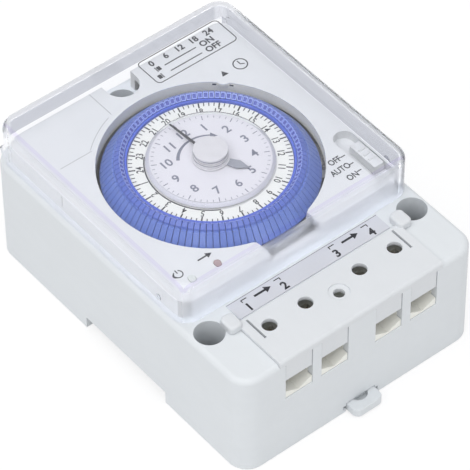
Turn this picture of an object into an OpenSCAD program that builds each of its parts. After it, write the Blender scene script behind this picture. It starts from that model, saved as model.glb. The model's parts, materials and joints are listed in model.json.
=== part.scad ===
// Mechanical 24 hour time switch with a clear hinged cover, for a 35 mm rail or a wall.
// Millimetres. The origin is the middle of the rail channel, in the plane of the back.
// X runs along the terminal row, +Y away from the terminals, +Z out of the dial.

/* [Case] */
// Width along the terminal row
body_w = 84; // [82:0.5:92]
// Length from the terminal end to the far end
body_l = 113; // [111:0.5:122]
// Height of the deck above the back face
deck_z = 36.6; // [36:0.2:40]
// Height of the rear case, up to the seam
seam_z = 7.1; // [6.8:0.1:9]
// Radius of the upright corners
body_r = 6.3; // [5:0.1:8]
// Rounding of the top edges of the case
edge_r = 1.8; // [0.8:0.1:2]
// Wall thickness of the case
wall = 2.2; // [1.8:0.1:2.6]

/* [Rail channel] */
// Width of the rail the channel takes
rail_w = 35; // [34.8:0.1:35.4]
// Play of the rail in the channel
rail_play = 1.1; // [0.6:0.1:1.6]
// Depth of the channel
chan_h = 4.2; // [4.1:0.1:4.4]
// Middle of the case from the middle of the channel
case_y = 4; // [3:0.5:5]

/* [Wall screws] */
// Radius of each wall screw hole
screw_r = 2.25; // [2:0.05:2.6]
// Radius of the wells the screw heads go down
well_r = 4.4; // [4:0.1:4.6]
// Distance of the front wells from the sides
well_in = 5.8; // [5.6:0.1:6]

/* [Clear cover] */
// Height of the cover above the deck
cover_h = 14.6; // [14.4:0.1:18]
// Wall thickness of the cover
cover_t = 1.5; // [1.2:0.1:1.6]
// Rounding of the top edges of the cover
cover_edge = 2.6; // [1.6:0.1:2.8]
// Radius of the hinge stubs
stub_r = 1; // [0.8:0.05:1.1]

/* [Face plate] */
// Height of the face plate above the deck
face_rise = 6.4; // [6.2:0.1:6.6]
// Thickness of the face plate
face_t = 2; // [1.6:0.1:2]
// Radius of the dial opening
dial_r = 32.3; // [31.6:0.1:32.6]
// Middle of the dial from the middle of the channel
dial_y = 13.3; // [13:0.1:13.6]
// Travel of the mode slider each way
mode_step = 3.5; // [3:0.1:3.6]

/* [Program ring] */
// Number of quarter hour tappets
tappet_n = 96; // [96]
// Gap between neighbouring tappets
tappet_gap = 0.24; // [0.2:0.02:0.4]
// Travel of a tappet when it is pressed in
tappet_push = 1.2; // [0.8:0.1:1.2]

/* [Terminals] */
// Distance of the inner terminals from the middle
term_x1 = 9.65; // [9.4:0.05:10]
// Distance of the outer terminals from the middle
term_x2 = 22.3; // [22:0.1:22.6]
// Width of the wire windows
win_w = 9.6; // [9:0.1:9.8]
// Radius of the screwdriver holes
driver_r = 2.2; // [1.8:0.1:2.4]

/* [Gears] */
// Tooth size of the slow gears
mod_a = 0.5; // [0.5]
// Tooth size of the minute wheel and motor pinion
mod_b = 0.4; // [0.4]
// Running clearance of shafts and stubs, on the radius
run = 0.05; // [0.03:0.01:0.08]

/* [Hidden] */
$fn = 48;
hw = body_w / 2;
front_y = case_y - body_l / 2;
rear_y = case_y + body_l / 2;
ihw = hw - wall;
in_y0 = front_y + wall;
in_y1 = rear_y - wall;
fit = 0.1;
gap = 0.3;
chan_w = rail_w + rail_play;
chan_y0 = -chan_w / 2;
chan_y1 = chan_w / 2;
floor_z = chan_h + wall;
well_x = hw - well_in;
well_y = front_y + 21.4;
well_yr = rear_y - 6.6;
well_wall = 1.4;
boss_x = ihw - 3.4;
boss_y = [in_y0 + 3.6, in_y1 - 4];
boss_r = 4.2;
cover_y0 = front_y + 26.8;
cover_y1 = rear_y - 1.5;
cover_hw = hw - 1;
cover_z0 = deck_z + 0.15;
cover_z1 = deck_z + cover_h;
cover_r = 5.5;
face_z = deck_z + face_rise;
face_hw = cover_hw - cover_t - 0.5;
face_y0 = cover_y0 + cover_t + 0.6;
face_y1 = cover_y1 - cover_t - 0.9;
face_r = 4;
face_wall = 2;
mark_r = 2.6;
mark_at = dial_r + mark_r - 0.8;
notch_hw = 8.9;
hinge_y = face_y1 - 1.8;
hinge_z = face_z - 1.6;
open_hw = face_hw - 4;
open_y0 = face_y0 + 4.1;
open_y1 = face_y1 - 2.1;
deck_t = 2.2;
part_y = cover_y0 + 1.5;
term_x = [-term_x2, -term_x1, term_x1, term_x2];
term_y = front_y + 12.75;
lid_hw = 29;
lid_y1 = front_y + 19.5;
lid_z0 = deck_z - 1.2;
lid_z1 = deck_z + 1;
lid_edge = 1;
slit_x = lid_hw - 3;
ear_x0 = lid_hw - 1;
ear_x1 = lid_hw + 3.4;
ear_y0 = lid_y1 - 2.9;
ear_y1 = lid_y1 + 2.8;
ear_z1 = deck_z + 2.6;
label_hw = lid_hw - 2.2;
win_z0 = 21.7;
win_z1 = 29;
cell_z = 20;
cell_hw = 4.7;
valley = 2.3;
valley_rise = 2.1;
cage_h = 9.2;
latch_hw = 5;
latch_z0 = 0.4;
latch_z1 = 3.2;
latch_tab = 4.4;
ring_r = dial_r - 1.1;
ring_floor_r = ring_r - 2.9;
rim_ri = dial_r - 8.85;
rim_ro = rim_ri + 0.75;
rim_z = face_z + 1.5;
tap_z1 = face_z + 2.7;
ring_z0 = face_z - 4.8;
tap_z0 = ring_z0 + 0.4;
web_z = face_z - 0.3;
web_t = 1.2;
hub_r = 6;
tube_r = 3.4;
hour_r = 2.2;
arbor_r = 1.2;
pivot_r = 0.9;
day_z = web_z + 1;
clock_r = 17.4;
clock_z0 = day_z + 0.4;
clock_z1 = clock_z0 + 0.9;
hour_z0 = clock_z1 + gap;
hour_z1 = hour_z0 + 0.5;
minute_z0 = hour_z1 + gap;
minute_z1 = minute_z0 + 0.4;
knob_z1 = minute_z1 + 2.4;
knob_r = 4.95;
minute_turn = 4.5;
plate_t = 1.2;
top_z0 = face_z - 8;
top_z1 = top_z0 + plate_t;
day_g0 = top_z1 + 0.6;
day_g1 = day_g0 + 1.6;
hour_g0 = top_z0 - 2.4;
hour_g1 = hour_g0 + 1.4;
hour_w0 = hour_g0 - 2.6;
hour_w1 = hour_w0 + 1.2;
min_p0 = hour_w0 - 2.2;
min_p1 = min_p0 + 1.2;
mid_z1 = min_p0 - 0.6;
mid_z0 = mid_z1 - 1;
min_w0 = mid_z0 - 1.6;
min_w1 = min_w0 + 1;
bot_z1 = min_w0 - 0.6;
bot_z0 = bot_z1 - plate_t;
motion_x = -20 * mod_a;
idler_y = dial_y + 17.5 * mod_a;
motor_x = 35 * mod_b;
motor_r = 16.5;
motor_z0 = floor_z + 0.6;
board_w = 15.5;
board_in = 2.8;
nose_r = ring_r - 0.5;
nose_x = nose_r * cos(45);
nose_y = dial_y + nose_r * sin(45);
sw_hw = 3;
pillar_in = 3;
plate_x0 = -ihw + board_in + board_w + 1.5;
plate_x1 = open_hw - 3;
plate_y0 = dial_y - 19.3;
plate_y1 = nose_y - sw_hw - 0.4;
pillar_x0 = plate_x0 + pillar_in;
pillar_x1 = plate_x1 - pillar_in;
pillar_y0 = plate_y0 + pillar_in;
pillar_y1 = plate_y1 - pillar_in;
pillar_r = 2.6;
pillar_ru = 2;
board_t = 1.6;
board_z = 10;
board_z1 = board_z + board_t;
board_x0 = -ihw + board_in;
board_x1 = board_x0 + board_w;
board_y0 = part_y + 6.2;
board_y1 = plate_y1 + 0.4;
board_y2 = well_yr - well_r - well_wall - 0.6;
board_my = (board_y1 + board_y2) / 2;
lever_z0 = face_z - 9.4;
lever_z1 = lever_z0 + 1.6;
lever_px = open_hw - 2.7;
lever_pz = (lever_z0 + lever_z1) / 2;
sw_x0 = nose_x - 2.2;
sw_x1 = lever_px - 2.2;
sw_l = sw_x1 - sw_x0;
tab_x = [sw_x0 + 0.08 * sw_l, sw_x0 + 0.46 * sw_l, sw_x0 + 0.83 * sw_l];
sw_z0 = lever_z0 - 9.1;
sw_z1 = lever_z0 - 2.6;
plunger_x = lever_px - 0.6 * (lever_px - nose_x);
mode_x = face_hw - 4;
mode_y = cover_y0 + 14.1;
mode_r = 3.2;
mode_end = mode_y + 8.4;
tile_l = 5.4;
pocket_z = face_z - 3;
led_x2 = -face_hw + 8;
led_x1 = led_x2 + 8.9;
led_y = face_y0 + 6.5;
led_r = 1.05;
ind_z1 = deck_z + 1.2;
bar_z0 = cell_z + 1.4;
bar_z1 = bar_z0 + 1;
wire_r = 0.6;
bend_r = 0.8;
wire_y = board_y0 + 5;
film_y0 = dial_y - 7;
film_y1 = plate_y1 - 1.3;
cell_r = 5.6;
cell_y = (wire_y + bend_r + film_y0) / 2;
can_r = 4.5;
can_x = board_x0 + board_w / 2;

// Block between two corners
module block(x0, x1, y0, y1, z0, z1) {
    translate([x0, y0, z0])
        cube([x1 - x0, y1 - y0, z1 - z0]);
}

// Upright cylinder between two heights
module post(x, y, r, z0, z1) {
    translate([x, y, z0])
        cylinder(h = z1 - z0, r = r);
}

// Cylinder along X
module rod_x(x0, x1, y, z, r) {
    translate([x0, y, z])
        rotate([0, 90, 0])
            cylinder(h = x1 - x0, r = r);
}

// Cylinder along Y
module rod_y(x, y0, y1, z, r) {
    translate([x, y1, z])
        rotate([90, 0, 0])
            cylinder(h = y1 - y0, r = r);
}

// Tube between two heights
module tube(x, y, ri, ro, z0, z1) {
    difference() {
        post(x, y, ro, z0, z1);
        post(x, y, ri, z0 - 1, z1 + 1);
    }
}

// Block with round upright corners
module round_block(x0, x1, y0, y1, r, z0, z1) {
    block(x0 + r, x1 - r, y0, y1, z0, z1);
    block(x0, x1, y0 + r, y1 - r, z0, z1);
    for (x = [x0 + r, x1 - r], y = [y0 + r, y1 - r])
        post(x, y, r, z0, z1);
}

// Half section of a puck with a rounded top edge
module puck_section(r, f, h) {
    square([r, h - f]);
    square([r - f, h]);
    translate([r - f, h - f])
        intersection() {
            circle(r = f);
            square([f, f]);
        }
}

// Full section of a slab with rounded top edges
module slab_section(half, f, h) {
    translate([-half, 0])
        square([2 * half, h - f]);
    translate([-half + f, 0])
        square([2 * half - 2 * f, h]);
    for (x = [-half + f, half - f])
        translate([x, h - f])
            circle(r = f);
}

// Block with round upright corners and a rounded top edge
module soft_block(x0, x1, y0, y1, r, f, z0, z1) {
    mx = (x0 + x1) / 2;
    my = (y0 + y1) / 2;
    translate([mx, my, z0]) {
        rotate([90, 0, 0])
            linear_extrude(height = y1 - y0 - 2 * r, center = true)
                slab_section((x1 - x0) / 2, f, z1 - z0);
        rotate([90, 0, 90])
            linear_extrude(height = x1 - x0 - 2 * r, center = true)
                slab_section((y1 - y0) / 2, f, z1 - z0);
    }
    for (x = [x0 + r, x1 - r], y = [y0 + r, y1 - r])
        translate([x, y, z0])
            rotate_extrude()
                puck_section(r, f, z1 - z0);
}

// Gear outline with thin straight teeth
function tooth(n, m, i) = let (p = 360 / n, a = i * p, ro = m * n / 2 + 0.85 * m, ri = m * n / 2 - 1.15 * m) [
    [ri * cos(a - 0.3 * p), ri * sin(a - 0.3 * p)],
    [ro * cos(a - 0.11 * p), ro * sin(a - 0.11 * p)],
    [ro * cos(a + 0.11 * p), ro * sin(a + 0.11 * p)],
    [ri * cos(a + 0.3 * p), ri * sin(a + 0.3 * p)]];

module gear(x, y, n, m, phase, z0, z1) {
    translate([x, y, z0])
        rotate([0, 0, phase])
            linear_extrude(height = z1 - z0)
                polygon([for (i = [0 : n - 1]) for (p = tooth(n, m, i)) p]);
}

// Rear case with the rail channel, the feet and the inside posts
module rear_case() {
    color([0.87, 0.88, 0.89])
        difference() {
            union() {
                difference() {
                    round_block(-hw, hw, front_y, rear_y, body_r, 0, seam_z);
                    block(-ihw, ihw, chan_y1 + wall, in_y1 - 2, wall, seam_z + 1);
                    block(-ihw + 2, ihw - 2, chan_y1 + wall, in_y1, wall, seam_z + 1);
                    block(-ihw, ihw, chan_y0 - 4, chan_y1 + wall + 1, floor_z, seam_z + 1);
                    for (x = [-latch_hw - 14, latch_hw + 14])
                        block(x - 11, x + 11, front_y + 14, chan_y0 - wall, wall, seam_z + 1);
                }
                for (x = [pillar_x0, pillar_x1], y = [pillar_y0, pillar_y1])
                    post(x, y, 3, wall, bot_z0);
                post(board_x0 + 3.2, board_y0 + 4, 2.4, wall, board_z);
                for (x = [board_x0 + 4, ihw - 6.8])
                    post(x, board_y2 - 3.5, 2.4, wall, board_z);
                post(0, well_yr, well_r + well_wall - gap, 0, seam_z);
                for (x = [-boss_x, boss_x])
                    post(x, boss_y[1], boss_r, 0, seam_z);
            }
            block(-hw - 1, hw + 1, chan_y0, chan_y1, -1, chan_h);
            block(-latch_hw - 0.25, latch_hw + 0.25, front_y - 1, chan_y0 + 1, -1, latch_z1 + gap);
            block(-latch_hw - 1.3, latch_hw + 1.3, front_y - 1, chan_y0 + 1, 1.1, 2.5);
            for (x = [-well_x, well_x])
                post(x, well_y, screw_r, -1, seam_z + 1);
            post(0, well_yr, screw_r, -1, seam_z + 1);
            for (x = [-boss_x, boss_x], y = boss_y) {
                post(x, y, 1.6, -1, seam_z + 1);
                post(x, y, 3.1, -1, 3);
            }
        }
    color([0.87, 0.88, 0.89])
        for (s = [-1, 1])
            block(s * 20 - 6, s * 20 + 6, chan_y1 - 1.4, chan_y1 + 0.5, 0.5, chan_h - 1.4);
}

// Front case: walls, deck, terminal chamber and screw wells
module housing() {
    color([0.9, 0.91, 0.92])
        difference() {
            union() {
                difference() {
                    soft_block(-hw, hw, front_y, rear_y, body_r, edge_r, seam_z, deck_z);
                    round_block(-ihw, ihw, part_y + wall, in_y1, body_r - wall, seam_z - 1, deck_z - deck_t);
                    block(-open_hw, open_hw, open_y0, open_y1, seam_z, deck_z + 1);
                    for (s = [-1, 1])
                        block(s * (ihw + lid_hw + wall) / 2 - (ihw - lid_hw - wall) / 2,
                            s * (ihw + lid_hw + wall) / 2 + (ihw - lid_hw - wall) / 2,
                            in_y0, well_y - well_r - well_wall, seam_z - 1, deck_z - deck_t);
                }
                post(0, well_yr, well_r + well_wall, seam_z, deck_z);
                for (x = [-boss_x, boss_x], y = boss_y)
                    post(x, y, boss_r, seam_z, deck_z - 1);
            }
            block(-lid_hw - fit, lid_hw + fit, front_y - 1, lid_y1 + fit, lid_z0, deck_z + 1);
            block(-lid_hw, lid_hw, in_y0, lid_y1 - 1.5, seam_z - 1, lid_z0 + 1);
            block(-lid_hw, lid_hw, in_y0, part_y, seam_z - 1, deck_z - deck_t);
            for (x = term_x) {
                block(x - win_w / 2, x + win_w / 2, front_y - 1, in_y0 + 1, win_z0, lid_z0 + 1);
                block(x - 3, x + 3, part_y - 1, part_y + wall + 1, bar_z0 - 0.5, bar_z1 + 0.5);
            }
            for (x = [-well_x, well_x])
                post(x, well_y, well_r, seam_z - 1, deck_z + 1);
            post(0, well_yr, well_r, seam_z - 1, deck_z + 1);
            for (x = [-boss_x, boss_x], y = boss_y)
                post(x, y, 1.45, seam_z - 1, seam_z + 12);
        }
}

// Raised face plate with the dial opening, slider pocket and lamp holes
module face_plate() {
    color([0.92, 0.93, 0.94]) {
        difference() {
            union() {
                difference() {
                    round_block(-face_hw, face_hw, face_y0, face_y1, face_r, deck_z, face_z);
                    round_block(-face_hw + face_wall, face_hw - face_wall, face_y0 + face_wall,
                        face_y1 - face_wall, face_r - face_wall, deck_z - 1, face_z - face_t);
                }
                post(0, dial_y, dial_r + 1.2, face_z - 4.2, face_z);
                block(mode_x - mode_r - 1, face_hw - 1, face_y0 + 1, mode_end + mode_r + 1, pocket_z - 1.2,
                    face_z - 1);
            }
            post(0, dial_y, dial_r, deck_z - 1, face_z + 1);
            post(mode_x, mode_end, mode_r, pocket_z, face_z + 1);
            block(mode_x - mode_r, mode_x + mode_r, face_y0 + 1.4, mode_end, pocket_z, face_z + 1);
            block(mode_x - 0.2, mode_x + 2.4, mode_y - mode_step - 1.8, mode_y + mode_step + 1.8,
                deck_z - 1, face_z);
            for (x = [led_x1, led_x2])
                post(x, led_y, led_r + fit, deck_z - 1, face_z + 1);
            post(0, well_yr, well_r + 0.8, deck_z - 1, face_z + 1);
            block(-well_r - 0.8, well_r + 0.8, well_yr, face_y1 + 1, deck_z - 1, face_z + 1);
            block(-notch_hw, notch_hw, face_y0 - 1, dial_y - dial_r + 4, face_z - 3.6, face_z + 1);
            for (s = [-1, 1])
                rod_x(s * face_hw - 3, s * face_hw + 3, hinge_y, hinge_z, stub_r + run);
        }
        post(mark_at * cos(45), dial_y + mark_at * sin(45), mark_r, face_z - 1, face_z);
    }
}

// Clear cover with two hinge stubs in the face plate and a trimmed rear wall
module clear_cover() {
    xi = cover_hw - cover_t;
    color([0.85, 0.88, 0.95, 0.3]) {
        difference() {
            soft_block(-cover_hw, cover_hw, cover_y0, cover_y1, cover_r, cover_edge, cover_z0, cover_z1);
            soft_block(-xi, xi, cover_y0 + cover_t, cover_y1 - cover_t, cover_r - cover_t,
                cover_edge - cover_t, cover_z0 - 1, cover_z1 - cover_t);
            block(-hw, hw, hinge_y, rear_y, cover_z0 - 1, hinge_z - 1.2);
            block(-xi, xi, hinge_y, rear_y, cover_z0 - 1, hinge_z + 2.2);
        }
        for (s = [-1, 1]) {
            rod_x(s * (cover_hw - cover_t / 2) - cover_t / 2, s * (cover_hw - cover_t / 2) + cover_t / 2,
                hinge_y, hinge_z, 2.2);
            rod_x(s * (xi - 0.9) - 1.1, s * (xi - 0.9) + 1.1, hinge_y, hinge_z, stub_r);
        }
    }
}

// Clip-on lid over the terminals with tabs above the wire windows
module terminal_cover() {
    color([0.93, 0.94, 0.95])
        difference() {
            union() {
                translate([0, (lid_y1 + front_y) / 2, lid_z0])
                    rotate([90, 0, 90])
                        linear_extrude(height = 2 * lid_hw, center = true)
                            difference() {
                                slab_section((lid_y1 - front_y) / 2, lid_edge, lid_z1 - lid_z0);
                                translate([(lid_y1 - front_y) / 2 - 0.1, -1])
                                    square([2, 5]);
                            }
                for (x = term_x)
                    block(x - win_w / 2 + 0.2, x + win_w / 2 - 0.2, front_y + 0.2, front_y + 1.7, win_z1,
                        lid_z0 + 0.5);
                for (side = [0, 1])
                    mirror([side, 0, 0])
                        soft_block(ear_x0, ear_x1, ear_y0, ear_y1, 1.4, 0.8, deck_z + 0.2, ear_z1);
            }
            for (x = term_x) {
                post(x, term_y, driver_r, lid_z0 - 1, lid_z1 + 1);
                post(x, term_y, driver_r + 0.6, lid_z0 - 1, lid_z1 - 1.3);
            }
            post(0, term_y - 2.75, 3.1, lid_z1 - 0.6, lid_z1 + 1);
            post(0, term_y - 2.75, 1.65, lid_z0 - 1, lid_z1 + 1);
            for (s = [-1, 1])
                block(s * slit_x - 0.35, s * slit_x + 0.35, term_y - 2.9, term_y + 5.3, lid_z0 - 1,
                    lid_z1 + 1);
        }
}

// Printed strip between the clear cover and the terminals
module terminal_label() {
    color([0.8, 0.81, 0.86])
        block(-label_hw, label_hw, lid_y1 + gap, cover_y0 - 3 * gap, deck_z, deck_z + 0.25);
}

// Guide floor with a shallow valley, between two depths
module guide_floor(x, half, z0, y0, y1) {
    top = valley + valley_rise * half / cell_hw;
    translate([x, y1, cell_z])
        rotate([90, 0, 0])
            linear_extrude(height = y1 - y0)
                polygon([[-half, z0 - cell_z], [half, z0 - cell_z], [half, top], [0, valley], [-half, top]]);
}

// Insulating block with four wire cells and guide floors that reach into the wire windows
module terminal_block() {
    y0 = in_y0 + 0.1;
    y1 = part_y - 0.1;
    color([0.86, 0.86, 0.82])
        difference() {
            union() {
                difference() {
                    block(-lid_hw + 0.4, lid_hw - 0.4, y0, y1, seam_z + 0.3, cell_z + cage_h + 0.6);
                    for (x = term_x)
                        block(x - cell_hw, x + cell_hw, y0 - 1, term_y + 5, cell_z, lid_z0);
                    block(-lid_hw + 3, lid_hw - 3, y0 + 3, y1 - 3, seam_z - 1, cell_z - 3);
                }
                for (x = term_x) {
                    guide_floor(x, cell_hw, cell_z, y0, term_y - 4.4);
                    guide_floor(x, win_w / 2 - 0.15, win_z0 + fit, front_y + gap, y0 + 0.1);
                }
            }
            for (x = term_x)
                block(x - 2.7, x + 2.7, term_y + 4, y1 + 1, bar_z0 - 0.2, bar_z1 + 0.2);
        }
}

// Slotted terminal screws
module terminal_screws() {
    z = cell_z + cage_h + 0.2;
    color([0.72, 0.73, 0.75])
        for (x = term_x)
            difference() {
                union() {
                    post(x, term_y, 1.7, bar_z1 + 1.2, z + 0.2);
                    post(x, term_y, 2.7, z, z + 2.4);
                }
                block(x - 3, x + 3, term_y - 0.4, term_y + 0.4, z + 1.2, z + 3);
            }
}

// Brass wire cages
module wire_clamps() {
    color([0.82, 0.68, 0.38])
        for (x = term_x)
            difference() {
                block(x - 3.9, x + 3.9, term_y - 4.1, term_y + 4.1, cell_z + 0.2, cell_z + cage_h + 0.2);
                block(x - 2.9, x + 2.9, term_y - 5, term_y + 5, bar_z0, cell_z + cage_h - 2);
                post(x, term_y, 1.75, cell_z + 4, cell_z + cage_h + 2);
            }
}

// Flat bars from the cages to the inside
module terminal_bars() {
    color([0.8, 0.56, 0.36])
        for (x = term_x)
            block(x - 2.5, x + 2.5, term_y - 3.6, part_y + wall + 4, bar_z0, bar_z1);
}

// Screws joining the two cases from behind
module case_screws() {
    color([0.7, 0.71, 0.73])
        for (x = [-boss_x, boss_x], y = boss_y)
            difference() {
                union() {
                    post(x, y, 1.4, 2.5, seam_z + 11);
                    post(x, y, 2.9, 0.9, 3);
                }
                block(x - 2, x + 2, y - 0.4, y + 0.4, 0, 1.9);
                block(x - 0.4, x + 0.4, y - 2, y + 2, 0, 1.9);
            }
}

// Sliding rail latch with a pull tab
module din_latch() {
    y1 = chan_y0 + 1.8;
    color([0.91, 0.91, 0.93])
        difference() {
            union() {
                block(-latch_hw, latch_hw, front_y - latch_tab + 2, y1, latch_z0, latch_z1);
                block(-latch_hw + 2, latch_hw - 2, front_y - latch_tab, front_y, latch_z0, latch_z1);
                for (s = [-1, 1])
                    post(s * (latch_hw - 2), front_y - latch_tab + 2, 2, latch_z0, latch_z1);
                block(-latch_hw - 1, latch_hw + 1, front_y + 6, chan_y0 - 6, 1.4, 2.2);
            }
            difference() {
                post(0, front_y + 1.2, 2.7, latch_z0 + 0.7, 5);
                block(-4, 4, front_y + 1.2, front_y + 5, -2, 6);
            }
            translate([0, y1, latch_z0])
                rotate([45, 0, 0])
                    cube([2 * latch_hw + 2, 1.6, 1.6], center = true);
        }
}

// Blue ring that carries the tappets
module program_ring() {
    color([0.33, 0.41, 0.76])
        translate([0, dial_y, 0])
            difference() {
                union() {
                    post(0, 0, rim_ro, ring_z0, rim_z);
                    post(0, 0, ring_floor_r, ring_z0, ring_z0 + 1);
                }
                post(0, 0, rim_ri, web_z, rim_z + 1);
                post(0, 0, rim_ri - 1, ring_z0 - 1, web_z - web_t);
                post(0, 0, hub_r + fit, ring_z0 - 1, rim_z + 1);
            }
}

// Hub of the dial with its gear
module dial_hub() {
    color([0.9, 0.9, 0.88])
        translate([0, dial_y, 0])
            difference() {
                union() {
                    post(0, 0, tube_r + 1, day_g0, web_z);
                    post(0, 0, hub_r, day_g1 + gap, web_z);
                    post(0, 0, hub_r + 2, web_z - web_t - 1, web_z - web_t);
                    gear(0, 0, 21, mod_a, 98.571, day_g0, day_g1);
                }
                post(0, 0, tube_r + run, day_g0 - 1, web_z + 1);
            }
}

// One quarter hour tappet, in place on the ring
tap_pts = [[rim_ro + 0.1, rim_z + 0.1], [rim_ro + 1.4, tap_z1], [rim_ro + 3, tap_z1 - 1.1],
    [ring_r, tap_z0 + 1], [ring_r, tap_z0], [ring_r - 1.2, tap_z0], [rim_ro + 2.4, tap_z1 - 2.8],
    [rim_ro + 1.3, tap_z1 - 2.4], [rim_ro + 1.3, ring_z0 + 1.3 + tappet_push],
    [rim_ro + 0.1, ring_z0 + 1.3 + tappet_push]];
function tap_half(r) = 180 / tappet_n * r * PI / 180 - tappet_gap / 2;

module tappet(i) {
    translate([0, dial_y, 0])
        rotate([0, 0, (i + 0.5) * 360 / tappet_n])
            intersection() {
                rotate([90, 0, 0])
                    linear_extrude(height = 4, center = true)
                        polygon(tap_pts);
                translate([0, 0, ring_z0])
                    linear_extrude(height = tap_z1 - ring_z0 + 1)
                        polygon([[rim_ro, -tap_half(rim_ro)], [dial_r, -tap_half(dial_r)],
                            [dial_r, tap_half(dial_r)], [rim_ro, tap_half(rim_ro)]]);
            }
}

module tappets() {
    color([0.4, 0.48, 0.82])
        for (i = [0 : tappet_n - 1])
            if (i < 55 || i > 57)
                tappet(i);
}

module tappet_a() {
    color([0.45, 0.53, 0.86])
        tappet(55);
}

module tappet_b() {
    color([0.45, 0.53, 0.86])
        tappet(56);
}

module tappet_c() {
    color([0.45, 0.53, 0.86])
        tappet(57);
}

// White 24 hour disc
module day_dial() {
    color([0.93, 0.93, 0.94])
        tube(0, dial_y, hub_r + 0.6, rim_ri - 0.15, web_z, day_z);
}

// Raised 12 hour disc, fixed on the face tube
module clock_face() {
    color([0.9, 0.9, 0.93])
        translate([0, dial_y, 0])
            difference() {
                translate([0, 0, clock_z0])
                    cylinder(h = clock_z1 - clock_z0, r1 = clock_r + 0.9, r2 = clock_r);
                post(0, 0, tube_r - 0.35, clock_z0 - 1, clock_z1 + 1);
            }
}

// Fixed tube between the hour tube and the dial hub
module face_tube() {
    color([0.8, 0.8, 0.82])
        translate([0, dial_y, 0])
            difference() {
                union() {
                    post(0, 0, tube_r, top_z0, clock_z0);
                    post(0, 0, tube_r - 0.4, clock_z0 - 0.1, clock_z1);
                    post(0, 0, tube_r + 1.2, top_z1, top_z1 + 0.4);
                }
                post(0, 0, hour_r + run, top_z0 - 1, clock_z1 + 1);
            }
}

// Hour hand with a wide round boss, pointing to five
module hour_hand() {
    color([0.55, 0.56, 0.6])
        translate([0, dial_y, hour_z0])
            difference() {
                union() {
                    cylinder(h = hour_z1 - hour_z0, r = knob_r + 0.3);
                    rotate([0, 0, -60])
                        linear_extrude(height = hour_z1 - hour_z0)
                            polygon([[2.4, -0.7], [4.5, -1.1], [8.4, -1.5], [11.6, 0], [8.4, 1.5], [4.5, 1.1],
                                [2.4, 0.7]]);
                }
                post(0, 0, hour_r, -1, 2);
            }
}

// Slim minute hand with a wide round boss, pointing just before twelve
module minute_hand() {
    color([0.2, 0.2, 0.22])
        translate([0, dial_y, minute_z0])
            difference() {
                union() {
                    cylinder(h = minute_z1 - minute_z0, r = knob_r + 0.15);
                    rotate([0, 0, minute_turn])
                        linear_extrude(height = minute_z1 - minute_z0)
                            polygon([[-0.45, 2], [0.45, 2], [0.2, 16.8], [-0.2, 16.8]]);
                }
                post(0, 0, arbor_r, -1, 2);
            }
}

// Stepped setting knob on the minute arbor
module setting_knob() {
    color([0.9, 0.91, 0.93, 0.7])
        translate([0, dial_y, minute_z1])
            difference() {
                union() {
                    cylinder(h = 0.7, r = knob_r + 0.1);
                    cylinder(h = 1.6, r = knob_r - 0.5);
                    translate([0, 0, 1])
                        cylinder(h = knob_z1 - minute_z1 - 1, r = knob_r);
                }
                post(0, 0, arbor_r, -1, 1.5);
            }
}

// Minute arbor with its pinion
module minute_arbor() {
    color([0.75, 0.75, 0.77])
        translate([0, dial_y, 0]) {
            post(0, 0, arbor_r, bot_z0 - 0.6, minute_z1 + 1.5);
            gear(0, 0, 10, mod_a, 0, min_p0, min_p1);
        }
}

// Minute wheel driven by the motor pinion
module minute_wheel() {
    color([0.85, 0.72, 0.42])
        translate([0, dial_y, 0])
            difference() {
                union() {
                    gear(0, 0, 60, mod_b, 0, min_w0, min_w1);
                    post(0, 0, 2.6, min_w0 - 0.3, min_w1 + 0.3);
                }
                post(0, 0, arbor_r, bot_z0, mid_z1);
                for (a = [45 : 90 : 315])
                    post(7 * cos(a), 7 * sin(a), 2.6, bot_z0, mid_z1);
            }
}

// Hour tube with the hour wheel and the gear for the dial
module hour_wheel() {
    color([0.93, 0.92, 0.88])
        translate([0, dial_y, 0])
            difference() {
                union() {
                    post(0, 0, hour_r, hour_w0 - 0.5, hour_z1);
                    gear(0, 0, 32, mod_a, 185.625, hour_w0, hour_w1);
                    gear(0, 0, 15, mod_a, 90, hour_g0, hour_g1);
                }
                post(0, 0, arbor_r + run, hour_w0 - 1, hour_z1 + 1);
            }
}

// Wheel between the minute pinion and the hour wheel
module motion_wheel() {
    color([0.93, 0.92, 0.88]) {
        gear(motion_x, dial_y, 30, mod_a, 6, min_p0, min_p1);
        gear(motion_x, dial_y, 8, mod_a, 0, min_p1 - 0.1, hour_w1 + 0.2);
        post(motion_x, dial_y, pivot_r, mid_z0, top_z1 - 0.2);
    }
}

// Wheel between the hour gear and the dial gear
module day_idler() {
    color([0.93, 0.92, 0.88]) {
        gear(0, idler_y, 20, mod_a, 279, hour_g0, hour_g1);
        gear(0, idler_y, 14, mod_a, 270, day_g0, day_g1);
        post(0, idler_y, pivot_r, hour_g0 - 0.5, day_g1 + 0.4);
    }
}

// Pinion on the motor output shaft
module motor_pinion() {
    color([0.8, 0.8, 0.82]) {
        gear(motor_x, dial_y, 10, mod_b, 198, min_w0 - 0.3, min_w1 + 0.2);
        post(motor_x, dial_y, 1, bot_z0 - 2.8, min_w1 + 0.2);
    }
}

// Geared synchronous motor
module motor_case() {
    color([0.62, 0.63, 0.66])
        difference() {
            union() {
                post(motor_x, dial_y, motor_r, motor_z0, bot_z0 - 1);
                post(motor_x, dial_y, 6, bot_z0 - 1.1, bot_z0);
                block(motor_x - 3, motor_x + 3, dial_y - motor_r - 1.5, dial_y + motor_r + 1.5, bot_z0 - 1.1,
                    bot_z0);
            }
            post(motor_x, dial_y, 1 + run, bot_z0 - 3, bot_z0 + 1);
        }
}

// Plates of the movement
module bottom_plate() {
    color([0.84, 0.74, 0.46])
        difference() {
            block(plate_x0, plate_x1, plate_y0, plate_y1, bot_z0, bot_z1);
            post(0, dial_y, arbor_r + run, bot_z0 - 1, bot_z1 + 1);
            post(motor_x, dial_y, 2.6, bot_z0 - 1, bot_z1 + 1);
        }
}

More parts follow.
